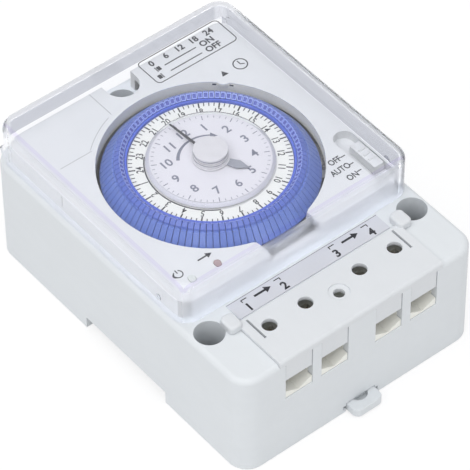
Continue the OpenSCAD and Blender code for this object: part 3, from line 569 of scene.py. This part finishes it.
class Print:
    """Thin raised print on one surface, gathered into one piece that reaches a little under it."""

    under = 0.01

    def __init__(self, level, rise):
        self.shape = bmesh.new()
        self.low = level - self.under
        self.high = level + rise / MM

    def patch(self, outline):
        """Filled outline."""
        low = [self.shape.verts.new(Vector((x, y, self.low)) * MM) for x, y in outline]
        high = [self.shape.verts.new(Vector((x, y, self.high)) * MM) for x, y in outline]
        self.shape.faces.new(low[::-1])
        self.shape.faces.new(high)
        for i in range(len(outline)):
            j = (i + 1) % len(outline)
            self.shape.faces.new((low[i], low[j], high[j], high[i]))

    def bar(self, start, end, width):
        """Straight stroke."""
        start, end = Vector(start), Vector(end)
        along = (end - start).normalized()
        side = Vector((-along.y, along.x)) * width / 2
        self.patch([start - side, end - side, end + side, start + side])

    def path(self, points, width):
        """Stroke through several points with mitred bends."""
        points = [Vector(p) for p in points]
        left, right = [], []
        for i, point in enumerate(points):
            back = (point - points[i - 1]).normalized() if i else None
            ahead = (points[i + 1] - point).normalized() if i + 1 < len(points) else None
            back, ahead = back or ahead, ahead or back
            mean = (back + ahead).normalized()
            side = Vector((-mean.y, mean.x)) * (width / 2) / max(0.3, mean.dot(ahead))
            left.append(point + side)
            right.append(point - side)
        self.patch(right + left[::-1])

    def arc(self, centre, radius, begin, end, width, end_width=None):
        """Stroke along a circle, with a width that may change."""
        steps = max(4, int(abs(end - begin) / 4))
        last = end_width or width
        inner, outer = [], []
        for i in range(steps + 1):
            share = i / steps
            turn = math.radians(begin + (end - begin) * share)
            half = (width + (last - width) * share) / 2
            ray = Vector((math.cos(turn), math.sin(turn)))
            inner.append(Vector(centre) + ray * (radius - half))
            outer.append(Vector(centre) + ray * (radius + half))
        self.patch(outer + inner[::-1])

    def circle(self, centre, radius, width):
        """Full ring, drawn as two half circles that meet."""
        self.arc(centre, radius, 0, 180, width)
        self.arc(centre, radius, 180, 360, width)

    def words(self, text, place, height, turn=0.0, bold=0.0, align=0.0, squeeze=1.0):
        """Letters or digits; align is 0 for the middle, -1 for the left end and 1 for the right end."""
        curve = bpy.data.curves.new("letters", "FONT")
        curve.body = text
        curve.offset = bold
        curve.extrude = 0.5
        curve.resolution_u = 3
        holder = put("letters", curve)
        mesh = bpy.data.meshes.new_from_object(holder.evaluated_get(bpy.context.evaluated_depsgraph_get()))
        low = Vector([min(v.co[i] for v in mesh.vertices) for i in range(3)])
        high = Vector([max(v.co[i] for v in mesh.vertices) for i in range(3)])
        anchor = (low + high) / 2
        anchor.x += align * (high.x - low.x) / 2
        scale = height / (high.y - low.y)
        sized = Matrix.Diagonal((scale * squeeze, scale, self.high - self.low, 1))
        placed = Matrix.Translation((place[0], place[1], (self.low + self.high) / 2))
        turned = Matrix.Rotation(math.radians(turn), 4, "Z")
        mesh.transform(Matrix.Scale(MM, 4) @ placed @ turned @ sized @ Matrix.Translation(-anchor))
        self.shape.from_mesh(mesh)
        bpy.data.objects.remove(holder)
        bpy.data.curves.remove(curve)
        bpy.data.meshes.remove(mesh)

    def make(self, name, colour, slot, body="case"):
        """Turns the print into a piece in one ink."""
        bmesh.ops.remove_doubles(self.shape, verts=self.shape.verts, dist=1e-8)
        add_piece(name, self.shape, [ink(name + "_ink", colour)], body)


def lathe(profile, centre, steps=96, shape=None):
    """Closed ring swept from a closed profile of radius and height in millimetres; it may join a shape."""
    shape = shape or bmesh.new()
    rows = []
    for i in range(steps):
        turn = 2 * math.pi * i / steps
        cos, sin = math.cos(turn), math.sin(turn)
        rows.append([shape.verts.new(Vector((centre.x + r * cos, centre.y + r * sin, z)) * MM)
                     for r, z in profile])
    for i in range(steps):
        here, ahead = rows[i], rows[(i + 1) % steps]
        for k in range(len(profile)):
            n = (k + 1) % len(profile)
            shape.faces.new((here[k], ahead[k], ahead[n], here[n]))
    return shape


class CaseOperator(bpy.types.Operator):
    """Finishes the two shells of the case and the screws that join them"""

    bl_idname = "time_switch.case"
    bl_label = "Case"

    def execute(self, context):
        colours, sizes = settings(context)
        # Painted shade towards the bottom of the screw wells
        wells = well_region(shade(colours.case, 0.75))
        dress(moulded("case_plastic", colours.case, rough=0.48, region=wells), "rear_case", "housing")
        dress(metal("screw_zinc", colours.steel), "case_screws")
        for node in ("rear_case", "housing"):
            soften(node, sizes.edge)
        return {"FINISHED"}


class TerminalOperator(bpy.types.Operator):
    """Finishes the terminal lid, block, cages, screws and bars, and prints the label"""

    bl_idname = "time_switch.terminals"
    bl_label = "Terminals"

    def execute(self, context):
        colours, sizes = settings(context)
        dress(moulded("lid_plastic", colours.lid, rough=0.46), "terminal_cover")
        dress(moulded("block_ivory", colours.ivory, rough=0.5), "terminal_block")
        dress(metal("cage_brass", colours.brass, rough=0.32), "wire_clamps")
        dress(metal("bar_copper", colours.copper, rough=0.34), "terminal_bars")
        # Painted shade: the screws deep in their holes get a darker steel
        dress(metal("terminal_zinc", colours.dull_steel, rough=0.55), "terminal_screws")
        dress(printed_film("label_film", colours.label), "terminal_label")
        soften("terminal_cover", sizes.fine_edge)
        soften("terminal_block", sizes.fine_edge)
        self.signs(sizes).make("label_print", colours.black_ink, "hand_dark")
        edge, width = Print(LABEL_HIGH.z, sizes.ink_rise), 0.16
        y = LABEL_HIGH.y - width / 2
        edge.bar((LABEL_LOW.x, y), (LABEL_HIGH.x, y), width)
        edge.make("label_edge", colours.label_edge, "hand_grey")
        return {"FINISHED"}

    def signs(self, sizes):
        """Numbers of the terminals, each with a bracket, and an arrow across each pair."""
        label = Print(LABEL_HIGH.z, sizes.ink_rise)
        y = LABEL_Y + 1.0
        for first, second, left, right in (("1", "2", -22.0, -9.6), ("3", "4", 9.1, 21.7)):
            for word, x, inward in ((first, left, 1), (second, right, -1)):
                corner = x - inward * 0.5
                label.words(word, (x, LABEL_Y - 1.1), 2.9, bold=0.03)
                label.path([(corner, y + 0.1), (corner, y + 1.0), (x + inward * 1.4, y + 1.0)], 0.3)
            middle = (left + right) / 2
            label.bar((middle - 2.8, y), (middle + 1.2, y), 0.7)
            label.patch([(middle + 1.0, y - 1.2), (middle + 3.0, y), (middle + 1.0, y + 1.2)])
        return label


class LatchOperator(bpy.types.Operator):
    """Finishes the rail latch"""

    bl_idname = "time_switch.latch"
    bl_label = "Rail latch"

    def execute(self, context):
        colours, sizes = settings(context)
        dress(moulded("latch_plastic", shade(colours.case, 0.98), rough=0.4), "din_latch")
        soften("din_latch", sizes.edge)
        return {"FINISHED"}


class FaceOperator(bpy.types.Operator):
    """Finishes the face plate and prints its signs"""

    bl_idname = "time_switch.face"
    bl_label = "Face plate"

    def execute(self, context):
        colours, sizes = settings(context)
        # Painted light on the plate's outer walls and on the wall round the dial
        walls = side_region(colours.face_side, colours.dial_wall)
        dress(moulded("face_plastic", colours.face, rough=0.42, depth=0.008, region=walls), "face_plate")
        soften("face_plate", sizes.edge)
        grey = shade(colours.face, 0.5)
        sign = Print(FACE_TOP, sizes.ink_rise)
        for add in (self.key_box, self.time_mark, self.slider_words, self.lamp_signs):
            add(sign)
        sign.make("face_print", colours.black_ink, "hand_dark")
        self.seams(sizes).make("face_seams", grey, "hand_grey")
        self.wall_seam().make("face_wall_seam", grey, "hand_grey")
        self.wall_marks().make("face_wall_marks", colours.black_ink, "hand_dark")
        return {"FINISHED"}

    def key_box(self, sign):
        """Box with round corners, plain hours and two rows for the tappets' positions."""
        left, right, near, far, corner = 8.3, 37.4, 47.2, 57.6, 1.4
        line, letters, pin = 0.3, 2.3, left + 3.0
        x0, x1, y0, y1 = left + corner, right - corner, near + corner, far - corner
        for start, end in (((x0, near), (x1, near)), ((x0, far), (x1, far)),
                           ((left, y0), (left, y1)), ((right, y0), (right, y1))):
            sign.bar(start, end, line)
        for i, centre in enumerate(((x1, y1), (x0, y1), (x0, y0), (x1, y0))):
            sign.arc(centre, corner, 90 * i, 90 * i + 90, line)
        for i, hour in enumerate(("0", "6", "12", "18", "24")):
            sign.words(hour, (left + 3.4 + 5.2 * i, 55.1), letters, bold=0.03)
        for y, word, shift in ((52.2, "ON", 0.9), (49.3, "OFF", -0.9)):
            sign.bar((pin, y - 1.0), (pin, y + 1.0), line)
            sign.bar((pin + shift, y - 0.8), (pin + shift, y + 0.8), 1.2)
            sign.bar((left + 6.0, y), (left + 17.5, y), 0.36)
            sign.words(word, (left + 19, y), letters, bold=0.03, align=-1)

    def time_mark(self, sign):
        """Pointer to the time of day and a small clock beside it."""
        mark, clock, line = Vector((25.3, 38.8)), Vector((31.4, 38.8)), 0.36
        sign.patch([mark + Vector(point) for point in ((-1.1, -0.9), (1.1, -0.9), (0, 1.1))])
        sign.circle(clock, 2.1, line)
        sign.path([clock + Vector((0, 1.5)), clock, clock + Vector((1.1, -0.6))], line)

    def slider_words(self, sign):
        """Words and short lines at the three positions of the slider."""
        for word, x, y in (("OFF", 27.3, 3.6), ("AUTO", 26.4, 0.0), ("ON", 27.5, -4.0)):
            sign.words(word, (x, SLIDER.y + y), 2.2, bold=0.02, squeeze=0.8)
        for y in (3.5, -0.2, -3.6):
            sign.bar((SLIDER.x - 5.55, SLIDER.y + y), (SLIDER.x - 3.95, SLIDER.y + y), 0.34)

    def lamp_signs(self, sign):
        """Power sign and output arrow beside the lamps."""
        power, output, line = Vector((-33.0, -13.7)), Vector((-23.4, -13.2)), 0.34
        sign.arc(power, 1.3, 120, 420, line)
        sign.bar(power + Vector((0, 0.3)), power + Vector((0, 1.7)), line)
        sign.bar(output + Vector((-2.4, 0)), output + Vector((0.8, 0)), 0.5)
        sign.patch([output + Vector(point) for point in ((0.6, -1.0), (2.4, 0), (0.6, 1.0))])

    def seams(self, sizes):
        """Thin lines moulded into the plate."""
        seam = Print(FACE_TOP, sizes.ink_rise)
        straight, curved = 0.18, 0.16
        seam.bar((-9.7, 56.4), (-9.7, 46.2), straight)
        seam.arc(DIAL.xy, 34.2, 109, 132, curved)
        seam.bar((-22.8, 38.2), (-33.8, 38.2), straight)
        return seam

    def wall_seam(self):
        """Upright line in the left wall of the plate, from its foot to its rounded top edge."""
        foot, y, width = 38.4, 30.1, 0.2
        seam = Print(foot, (FACE_TOP - 0.3 - foot) * MM)
        outer, inner = FACE_LOW.x - 0.03, FACE_LOW.x + 0.1
        seam.patch([(outer, y), (inner, y), (inner, y + width), (outer, y + width)])
        return seam

    def wall_marks(self):
        """Two small dark marks in the wall of the dial opening."""
        marks = Print(FACE_TOP - 1.2, 0.5 * MM)
        inner, outer = OPENING_R - 0.06, OPENING_R + 0.1
        corners = ((inner, -1), (outer, -1), (outer, 1), (inner, 1))
        for turn in (40.6, 49.4):
            marks.patch([round_dial(radius, turn + side) for radius, side in corners])
        return marks


class SliderOperator(bpy.types.Operator):
    """Finishes the mode slider"""

    bl_idname = "time_switch.slider"
    bl_label = "Mode slider"

    def execute(self, context):
        colours, sizes = settings(context)
        dress(moulded("slider_plastic", colours.face, rough=0.38), "mode_slider")
        soften("mode_slider", sizes.fine_edge)
        return {"FINISHED"}


class RingOperator(bpy.types.Operator):
    """Finishes the program ring and builds its quarter hour tappets"""

    bl_idname = "time_switch.ring"
    bl_label = "Program ring"

    def execute(self, context):
        colours, sizes = settings(context)
        dress(moulded("ring_plastic", colours.ring, rough=0.36, cloud=0.05, coat=0.15), "program_ring")
        soften("program_ring", sizes.fine_edge)
        finishes = [
            moulded("tappet_plastic", colours.tappet, rough=0.3, cloud=0.06, coat=0.2,
                    region=inner_region(RIDGE_R, colours.tappet_ridge)),
            # Painted shade in the eyes and painted light on the slopes round them
            moulded("tappet_eye_plastic", colours.tappet_eye, rough=0.5),
            moulded("tappet_slope_plastic", colours.tappet_slope, rough=0.34, cloud=0.06),
        ]
        master = self.one_tappet(sizes)
        fixed = bmesh.new()
        for i in range(TAPPETS):
            turn = Matrix.Rotation(2 * math.pi * (i + 0.5) / TAPPETS, 4, "Z")
            placed = Matrix.Translation(Vector((DIAL.x, DIAL.y, 0)) * MM) @ turn
            copy = master.copy()
            copy.transform(placed)
            if i in MOVING_TAPPETS:
                node, body = MOVING_TAPPETS[i]
                single = bmesh.new()
                single.from_mesh(copy)
                piece = add_piece("fine_" + node, single, finishes, body)
                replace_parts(piece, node)
            else:
                fixed.from_mesh(copy)
            bpy.data.meshes.remove(copy)
        bpy.data.meshes.remove(master)
        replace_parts(add_piece("fine_tappets", fixed, finishes, "dial"), "tappets")
        return {"FINISHED"}

    def one_tappet(self, sizes):
        """Tappet on the +X axis of the ring, with soft edges and a square eye in its inner slope.

        The faces take the finishes by number: 0 for the tappet, 1 for the eye, darker as painted shade,
        and 2 for the slope, paler as painted light.
        """
        profile = [(RIM_R + 0.1, RING_TOP - 1.1), (RIM_R + 1.4, RING_TOP), (RIM_R + 2.8, RING_TOP - 0.9),
                   (RIM_R + 3.0, RING_TOP - 1.7), (RIM_R + 3.5, RING_TOP - 1.6), (RING_R, RING_LOW + 1.0),
                   (RING_R, RING_LOW), (RING_R - 1.2, RING_LOW), (RIM_R + 2.4, RING_TOP - 2.8),
                   (RIM_R + 1.3, RING_TOP - 2.4), (RIM_R + 1.3, RING_LOW + 2.1),
                   (RIM_R + 0.1, RING_LOW + 2.1)]
        shape = bmesh.new()
        sides = []
        for sign in (-1, 1):
            sides.append([shape.verts.new(Vector((r, sign * (math.pi / TAPPETS * r - TAPPET_GAP), z)) * MM)
                          for r, z in profile])
        count = len(profile)
        shape.faces.new(sides[0])
        shape.faces.new(sides[1][::-1])
        slope = None
        for k in range(count):
            n = (k + 1) % count
            face = shape.faces.new((sides[0][n], sides[0][k], sides[1][k], sides[1][n]))
            slope = slope or face
        bmesh.ops.recalc_face_normals(shape, faces=shape.faces)
        border = bmesh.ops.inset_individual(shape, faces=[slope], thickness=sizes.eye_border, depth=0.0)
        before = set(shape.faces)
        bmesh.ops.inset_individual(shape, faces=[slope], thickness=sizes.eye_draft, depth=-sizes.eye_depth)
        for face in border["faces"]:
            face.material_index = 2
        slope.material_index = 1
        for face in set(shape.faces) - before:
            face.material_index = 1
        long_edges = [e for e in shape.edges if e.is_manifold and e.calc_face_angle(0) > 0.4
                      and not any(f.material_index for f in e.link_faces)]
        bmesh.ops.bevel(shape, geom=long_edges, offset=sizes.tappet_edge, segments=1, profile=0.5,
                        affect="EDGES")
        return mesh_of("one_tappet", shape)


class DayOperator(bpy.types.Operator):
    """Finishes the 24 hour disc and prints its hours and quarter hours"""

    bl_idname = "time_switch.day"
    bl_label = "24 hour disc"

    def execute(self, context):
        colours, sizes = settings(context)
        dress(moulded("day_plastic", colours.day, rough=0.4, depth=0.006), "day_dial")
        self.scale(sizes).make("day_print", colours.black_ink, "hand_dark", "dial")
        return {"FINISHED"}

    def scale(self, sizes):
        """Marks and numbers, with the hour at rest at the time mark, and a line within them."""
        scale = Print(DAY_TOP, sizes.ink_rise)
        time_mark, hour_at_rest = 45, 17
        mark_end, numbers, inner_line = 23.2, 20.05, 18.7
        for quarter in range(TAPPETS):
            turn = time_mark + (quarter / 4 - hour_at_rest) * 15
            whole = quarter % 4 == 0
            mark_start, width = (21.25, 0.44) if whole else (21.95, 0.28)
            scale.bar(round_dial(mark_start, turn), round_dial(mark_end, turn), width)
            if whole:
                spot, height = round_dial(numbers, turn), sizes.day_numeral / MM
                scale.words(str(quarter // 4 or 24), spot, height, turn - 90, bold=0.012, squeeze=0.85)
        scale.arc(DIAL.xy, inner_line, 135, 240, 0.34)
        return scale


class ClockOperator(bpy.types.Operator):
    """Finishes the clock disc, its print, its hands and the knob"""

    bl_idname = "time_switch.clock"
    bl_label = "Clock"

    def execute(self, context):
        colours, sizes = settings(context)
        boss = inner_region(BOSS_R, colours.knob)
        dress(moulded("clock_plastic", colours.clock, rough=0.3, depth=0.005, coat=0.3), "clock_face")
        dress(moulded("hour_hand_plastic", colours.hour_hand, rough=0.42, region=boss), "hour_hand")
        dress(moulded("minute_hand_plastic", colours.minute_hand, rough=0.42, region=boss), "minute_hand")
        dress(cloudy_plastic("knob_plastic", colours.knob), "setting_knob")
        soften("clock_face", sizes.fine_edge)
        soften("setting_knob", sizes.edge, 3)
        self.scale(sizes).make("clock_print", colours.grey_ink, "hand_grey")
        # Painted shade round the steps of the knob
        self.knob_rings(colours)
        # Painted shadow: a darker ring on the 24 hour disc round the foot of the clock disc
        edge = Print(DAY_TOP, sizes.ink_rise)
        edge.circle(DIAL.xy, CLOCK_R + 0.2, 0.2)
        edge.make("clock_painted_shadow", shade(colours.clock, 0.72), "hand_grey", "dial")
        self.lip(colours)
        return {"FINISHED"}

    def scale(self, sizes):
        """Minutes, hours and a curved arrow that shows which way the knob turns."""
        scale = Print(CLOCK_TOP, sizes.ink_rise)
        mark_end, numbers, arrow = 16.8, 12.3, 9.1
        for minute in range(60):
            turn = 90 - 6 * minute
            whole = minute % 5 == 0
            mark_start, width = (15.2, 0.24) if whole else (16.0, 0.16)
            scale.bar(round_dial(mark_start, turn), round_dial(mark_end, turn), width)
            if whole:
                spot, height = round_dial(numbers, turn), sizes.clock_numeral / MM
                scale.words(str(minute // 5 or 12), spot, height, bold=0.02)
        scale.arc(DIAL.xy, arrow, 146, 51, 1.0, 0.4)
        scale.patch([round_dial(r, a) for r, a in ((arrow + 1, 52), (arrow - 1, 52), (arrow, 38.5))])
        return scale

    def knob_rings(self, colours):
        """Dark lines of painted shade round the steps of the knob, at depths under its top."""
        rings = bmesh.new()
        steps = ((KNOB_R - 0.1, 0.85, 0.6), (KNOB_R - 0.6, 1.7, 1.4), (KNOB_R, 2.2, 2.0))
        for radius, deep, shallow in steps:
            inner, outer = radius - 0.1, radius + 0.02
            low, high = KNOB_TOP - deep, KNOB_TOP - shallow
            lathe([(inner, low), (outer, low), (outer, high), (inner, high)], DIAL, shape=rings)
        dark = ink("knob_shade_ring_ink", shade(colours.grey_ink, 0.9))
        add_piece("knob_rings", rings, [dark], "minute_train")

    def lip(self, colours):
        """Clear lip round the edge of the clock disc."""
        profile = [(CLOCK_R - 1.0, CLOCK_TOP - 0.05), (CLOCK_R - 0.9, CLOCK_TOP + 0.45),
                   (CLOCK_R - 0.3, CLOCK_TOP + 0.5), (CLOCK_R + 0.05, CLOCK_LOW + 0.5),
                   (CLOCK_R + 0.05, CLOCK_LOW), (CLOCK_R - 0.05, CLOCK_LOW)]
        clear = clear_plastic("lip_plastic", colours.clear, 0.05, colours.clear, colours.clear)
        add_piece("clock_lip", lathe(profile, DIAL), [clear], "case", True)


class LampOperator(bpy.types.Operator):
    """Finishes the two lamps"""

    bl_idname = "time_switch.lamps"
    bl_label = "Lamps"

    def execute(self, context):
        colours, _ = settings(context)
        dress(moulded("lamp_red_plastic", colours.output_lamp, rough=0.25, coat=0.5), "output_led")
        dress(moulded("lamp_green_plastic", colours.power_lamp, rough=0.25, coat=0.5), "power_led")
        return {"FINISHED"}


class MovementOperator(bpy.types.Operator):
    """Finishes the movement, the lever and the switch under the dial"""

    bl_idname = "time_switch.movement"
    bl_label = "Movement"

    def execute(self, context):
        colours, _ = settings(context)
        dress(moulded("gear_plastic_finish", colours.gear, rough=0.4),
              "dial_hub", "hour_wheel", "motion_wheel", "day_idler", "trip_lever")
        dress(metal("wheel_brass", colours.brass), "minute_wheel", "switch_contacts")
        dress(metal("plate_zinc", colours.steel, rough=0.45), "bottom_plate", "mid_plate", "top_plate")
        dress(metal("arbor_steel", colours.steel, rough=0.25),
              "face_tube", "minute_arbor", "motor_pinion", "plate_pillars", "plate_screws", "lever_pin")
        dress(metal("motor_steel_finish", colours.motor, rough=0.4), "motor_case")
        dress(moulded("bracket_paint", colours.bracket, rough=0.5), "switch_bracket")
        dress(moulded("switch_plastic", colours.switch, rough=0.45), "switch_case")
        dress(moulded("plunger_plastic", colours.plunger, rough=0.4), "switch_plunger")
        return {"FINISHED"}


class SupplyOperator(bpy.types.Operator):
    """Finishes the boards, their parts and the wires"""

    bl_idname = "time_switch.supply"
    bl_label = "Supply"

    def execute(self, context):
        colours, _ = settings(context)
        dress(circuit_board("board_mask", colours.board, colours.track), "main_board", "indicator_board")
        dress(metal("cell_steel", colours.cell, rough=0.3), "backup_cell")
        dress(moulded("capacitor_film", colours.film, rough=0.3), "dropper_capacitor")
        dress(moulded("capacitor_sleeve", colours.sleeve, rough=0.35), "smoothing_capacitor")
        dress(moulded("resistor_coat_finish", colours.resistor, rough=0.5), "power_resistor")
        dress(moulded("wire_skin_finish", colours.wire, rough=0.45), "lead_wires")
        return {"FINISHED"}


class CoverOperator(bpy.types.Operator):
    """Finishes the clear cover and adds the round catches of its side walls"""

    bl_idname = "time_switch.cover"
    bl_label = "Clear cover"

    def execute(self, context):
        colours, sizes = settings(context)
        # Painted shade on the far and right walls and painted light along the near edges
        clear = clear_plastic("cover_plastic", colours.clear, 0.0, colours.clear_wall, colours.clear_line)
        dress(clear, "clear_cover")
        soften("clear_cover", sizes.clear_edge, 1, 40)
        profile = [(0.25, -0.1), (0.3, 0.22), (0.7, 0.3), (1.0, 0.16), (1.1, -0.1)]
        for side, name in ((-1, "left"), (1, "right")):
            catch = lathe(profile, Vector((0, 0, 0)), 24)
            placed = Matrix.Translation(Vector((side * COVER_CATCH.x, COVER_CATCH.y, COVER_CATCH.z)) * MM)
            turned = Matrix.Rotation(side * math.pi / 2, 4, "Y")
            bmesh.ops.transform(catch, matrix=placed @ turned, verts=catch.verts)
            add_piece("cover_catch_" + name, catch, [clear], "cover", True)
        return {"FINISHED"}


def ray_at(degrees, rise):
    """Direction at an angle round the object and a rise, both in degrees."""
    turn, lift = math.radians(degrees), math.radians(rise)
    return Vector((math.cos(turn) * math.cos(lift), math.sin(turn) * math.cos(lift), math.sin(lift)))


class StageOperator(bpy.types.Operator):
    """Makes the floor, the light and the camera"""

    bl_idname = "time_switch.stage"
    bl_label = "Stage"

    def execute(self, context):
        scene = context.scene
        scene.view_settings.view_transform = "Standard"
        self.floor(scene)
        self.light(scene)
        self.camera(scene)
        return {"FINISHED"}

    def seen(self, finish):
        """1 for rays that show the background, directly or in gloss and glass."""
        kinds = ("Is Camera Ray", "Is Glossy Ray", "Is Transmission Ray")
        straight, gloss, glass = (finish.ray(kind) for kind in kinds)
        shown = straight.maths("MAXIMUM", straight.maths("MAXIMUM", straight, gloss), glass)
        return shown * (finish.ray("Diffuse Depth") < 0.5)

    def floor(self, scene):
        """Pale paper that shows white where nothing shades it."""
        finish, place = new_finish("floor_paper")
        fleck = finish.noise(place, 6, 3)
        colour = scene.switch_colours.floor
        flecked = finish.mix(fleck, shade(colour, 0.98), shade(colour, 1.02))
        paper = finish.node("ShaderNodeBsdfDiffuse", {"Color": flecked})
        shadow = finish.node("ShaderNodeBsdfDiffuse", {"Color": (0.3, 0.3, 0.3, 1)})
        white = finish.node("ShaderNodeEmission", {"Color": (1, 1, 1, 1), "Strength": 0.74})
        shown = finish.node("ShaderNodeAddShader", {0: shadow, 1: white})
        mixed = finish.node("ShaderNodeMixShader", {0: self.seen(finish), 1: paper, 2: shown})
        shape = bmesh.new()
        bmesh.ops.create_grid(shape, x_segments=8, y_segments=8, size=3.0)
        floor = put("floor", mesh_of("floor", shape))
        floor.data.materials.append(finish.close(mixed))
        floor.location.z = cad_box[0][2] - FLOOR_GAP

    def light(self, scene):
        """White surroundings that light softly, a wide lamp overhead and two small ones in front."""
        world = bpy.data.worlds.new("studio")
        finish = Finish(world)
        white = finish.node("ShaderNodeBackground", {"Color": (1, 1, 1, 1), "Strength": 1.0})
        fill = finish.node("ShaderNodeBackground", {"Color": (0.98, 0.985, 1, 1), "Strength": 0.56})
        mixed = finish.node("ShaderNodeMixShader", {0: self.seen(finish), 1: fill, 2: white})
        finish.close(mixed, "ShaderNodeOutputWorld")
        scene.world = world
        lamps = (("overhead", Vector((-0.4, -0.2, 1.1)), 1.6, 8.5),
                 ("left_panel", ray_at(-139.5, PANEL_RISE) * PANEL_DISTANCE, PANEL_SIZE, 0.26),
                 ("right_panel", ray_at(-83.5, PANEL_RISE) * PANEL_DISTANCE, PANEL_SIZE, 0.27))
        for name, spot, size, power in lamps:
            lamp = bpy.data.lights.new(name, "AREA")
            lamp.shape = "DISK"
            lamp.size = size
            lamp.energy = power
            holder = put(name, lamp)
            holder.location = spot
            holder.rotation_euler = (-spot).to_track_quat("-Z", "Y").to_euler()

    def camera(self, scene):
        """Camera of the photograph."""
        roll = math.radians(CAMERA_ROLL)
        back = ray_at(CAMERA_AZIMUTH - 90, CAMERA_ELEVATION)
        level = ray_at(CAMERA_AZIMUTH, 0)
        upright = back.cross(level)
        right = level * math.cos(roll) + upright * math.sin(roll)
        up = upright * math.cos(roll) - level * math.sin(roll)
        spot = CAMERA_AIM + back * CAMERA_DISTANCE + right * CAMERA_RIGHT - up * CAMERA_DOWN
        data = bpy.data.cameras.new("photo_camera")
        data.lens = CAMERA_LENS
        data.clip_end = 20
        scene.camera = put("photo_camera", data)
        turned = Matrix((right, up, back)).transposed().to_4x4()
        scene.camera.matrix_world = Matrix.Translation(spot * MM) @ turned


OPERATORS = (FaceOperator, DayOperator, ClockOperator, TerminalOperator, RingOperator, CaseOperator,
             LatchOperator, SliderOperator, LampOperator, MovementOperator, SupplyOperator, CoverOperator,
             StageOperator)


class SwitchPanel(bpy.types.Panel):
    """Lists the steps and values of the time switch"""

    bl_idname = "VIEW3D_PT_time_switch"
    bl_label = "Time switch"
    bl_space_type = "VIEW_3D"
    bl_region_type = "UI"
    bl_category = "Time switch"

    def draw(self, context):
        layout = self.layout
        for group in (context.scene.switch_sizes, context.scene.switch_colours):
            for name in group.__annotations__:
                layout.prop(group, name)
        for operator in OPERATORS:
            layout.operator(operator.bl_idname)


CLASSES = (SwitchColours, SwitchSizes, *OPERATORS, SwitchPanel)


def register():
    for item in CLASSES:
        bpy.utils.register_class(item)
    bpy.types.Scene.switch_colours = bpy.props.PointerProperty(type=SwitchColours)
    bpy.types.Scene.switch_sizes = bpy.props.PointerProperty(type=SwitchSizes)


def unregister():
    del bpy.types.Scene.switch_sizes
    del bpy.types.Scene.switch_colours
    for item in reversed(CLASSES):
        bpy.utils.unregister_class(item)


def main():
    register()
    for operator in OPERATORS:
        group, name = operator.bl_idname.split(".")
        getattr(getattr(bpy.ops, group), name)()


if __name__ == "__main__":
    main()
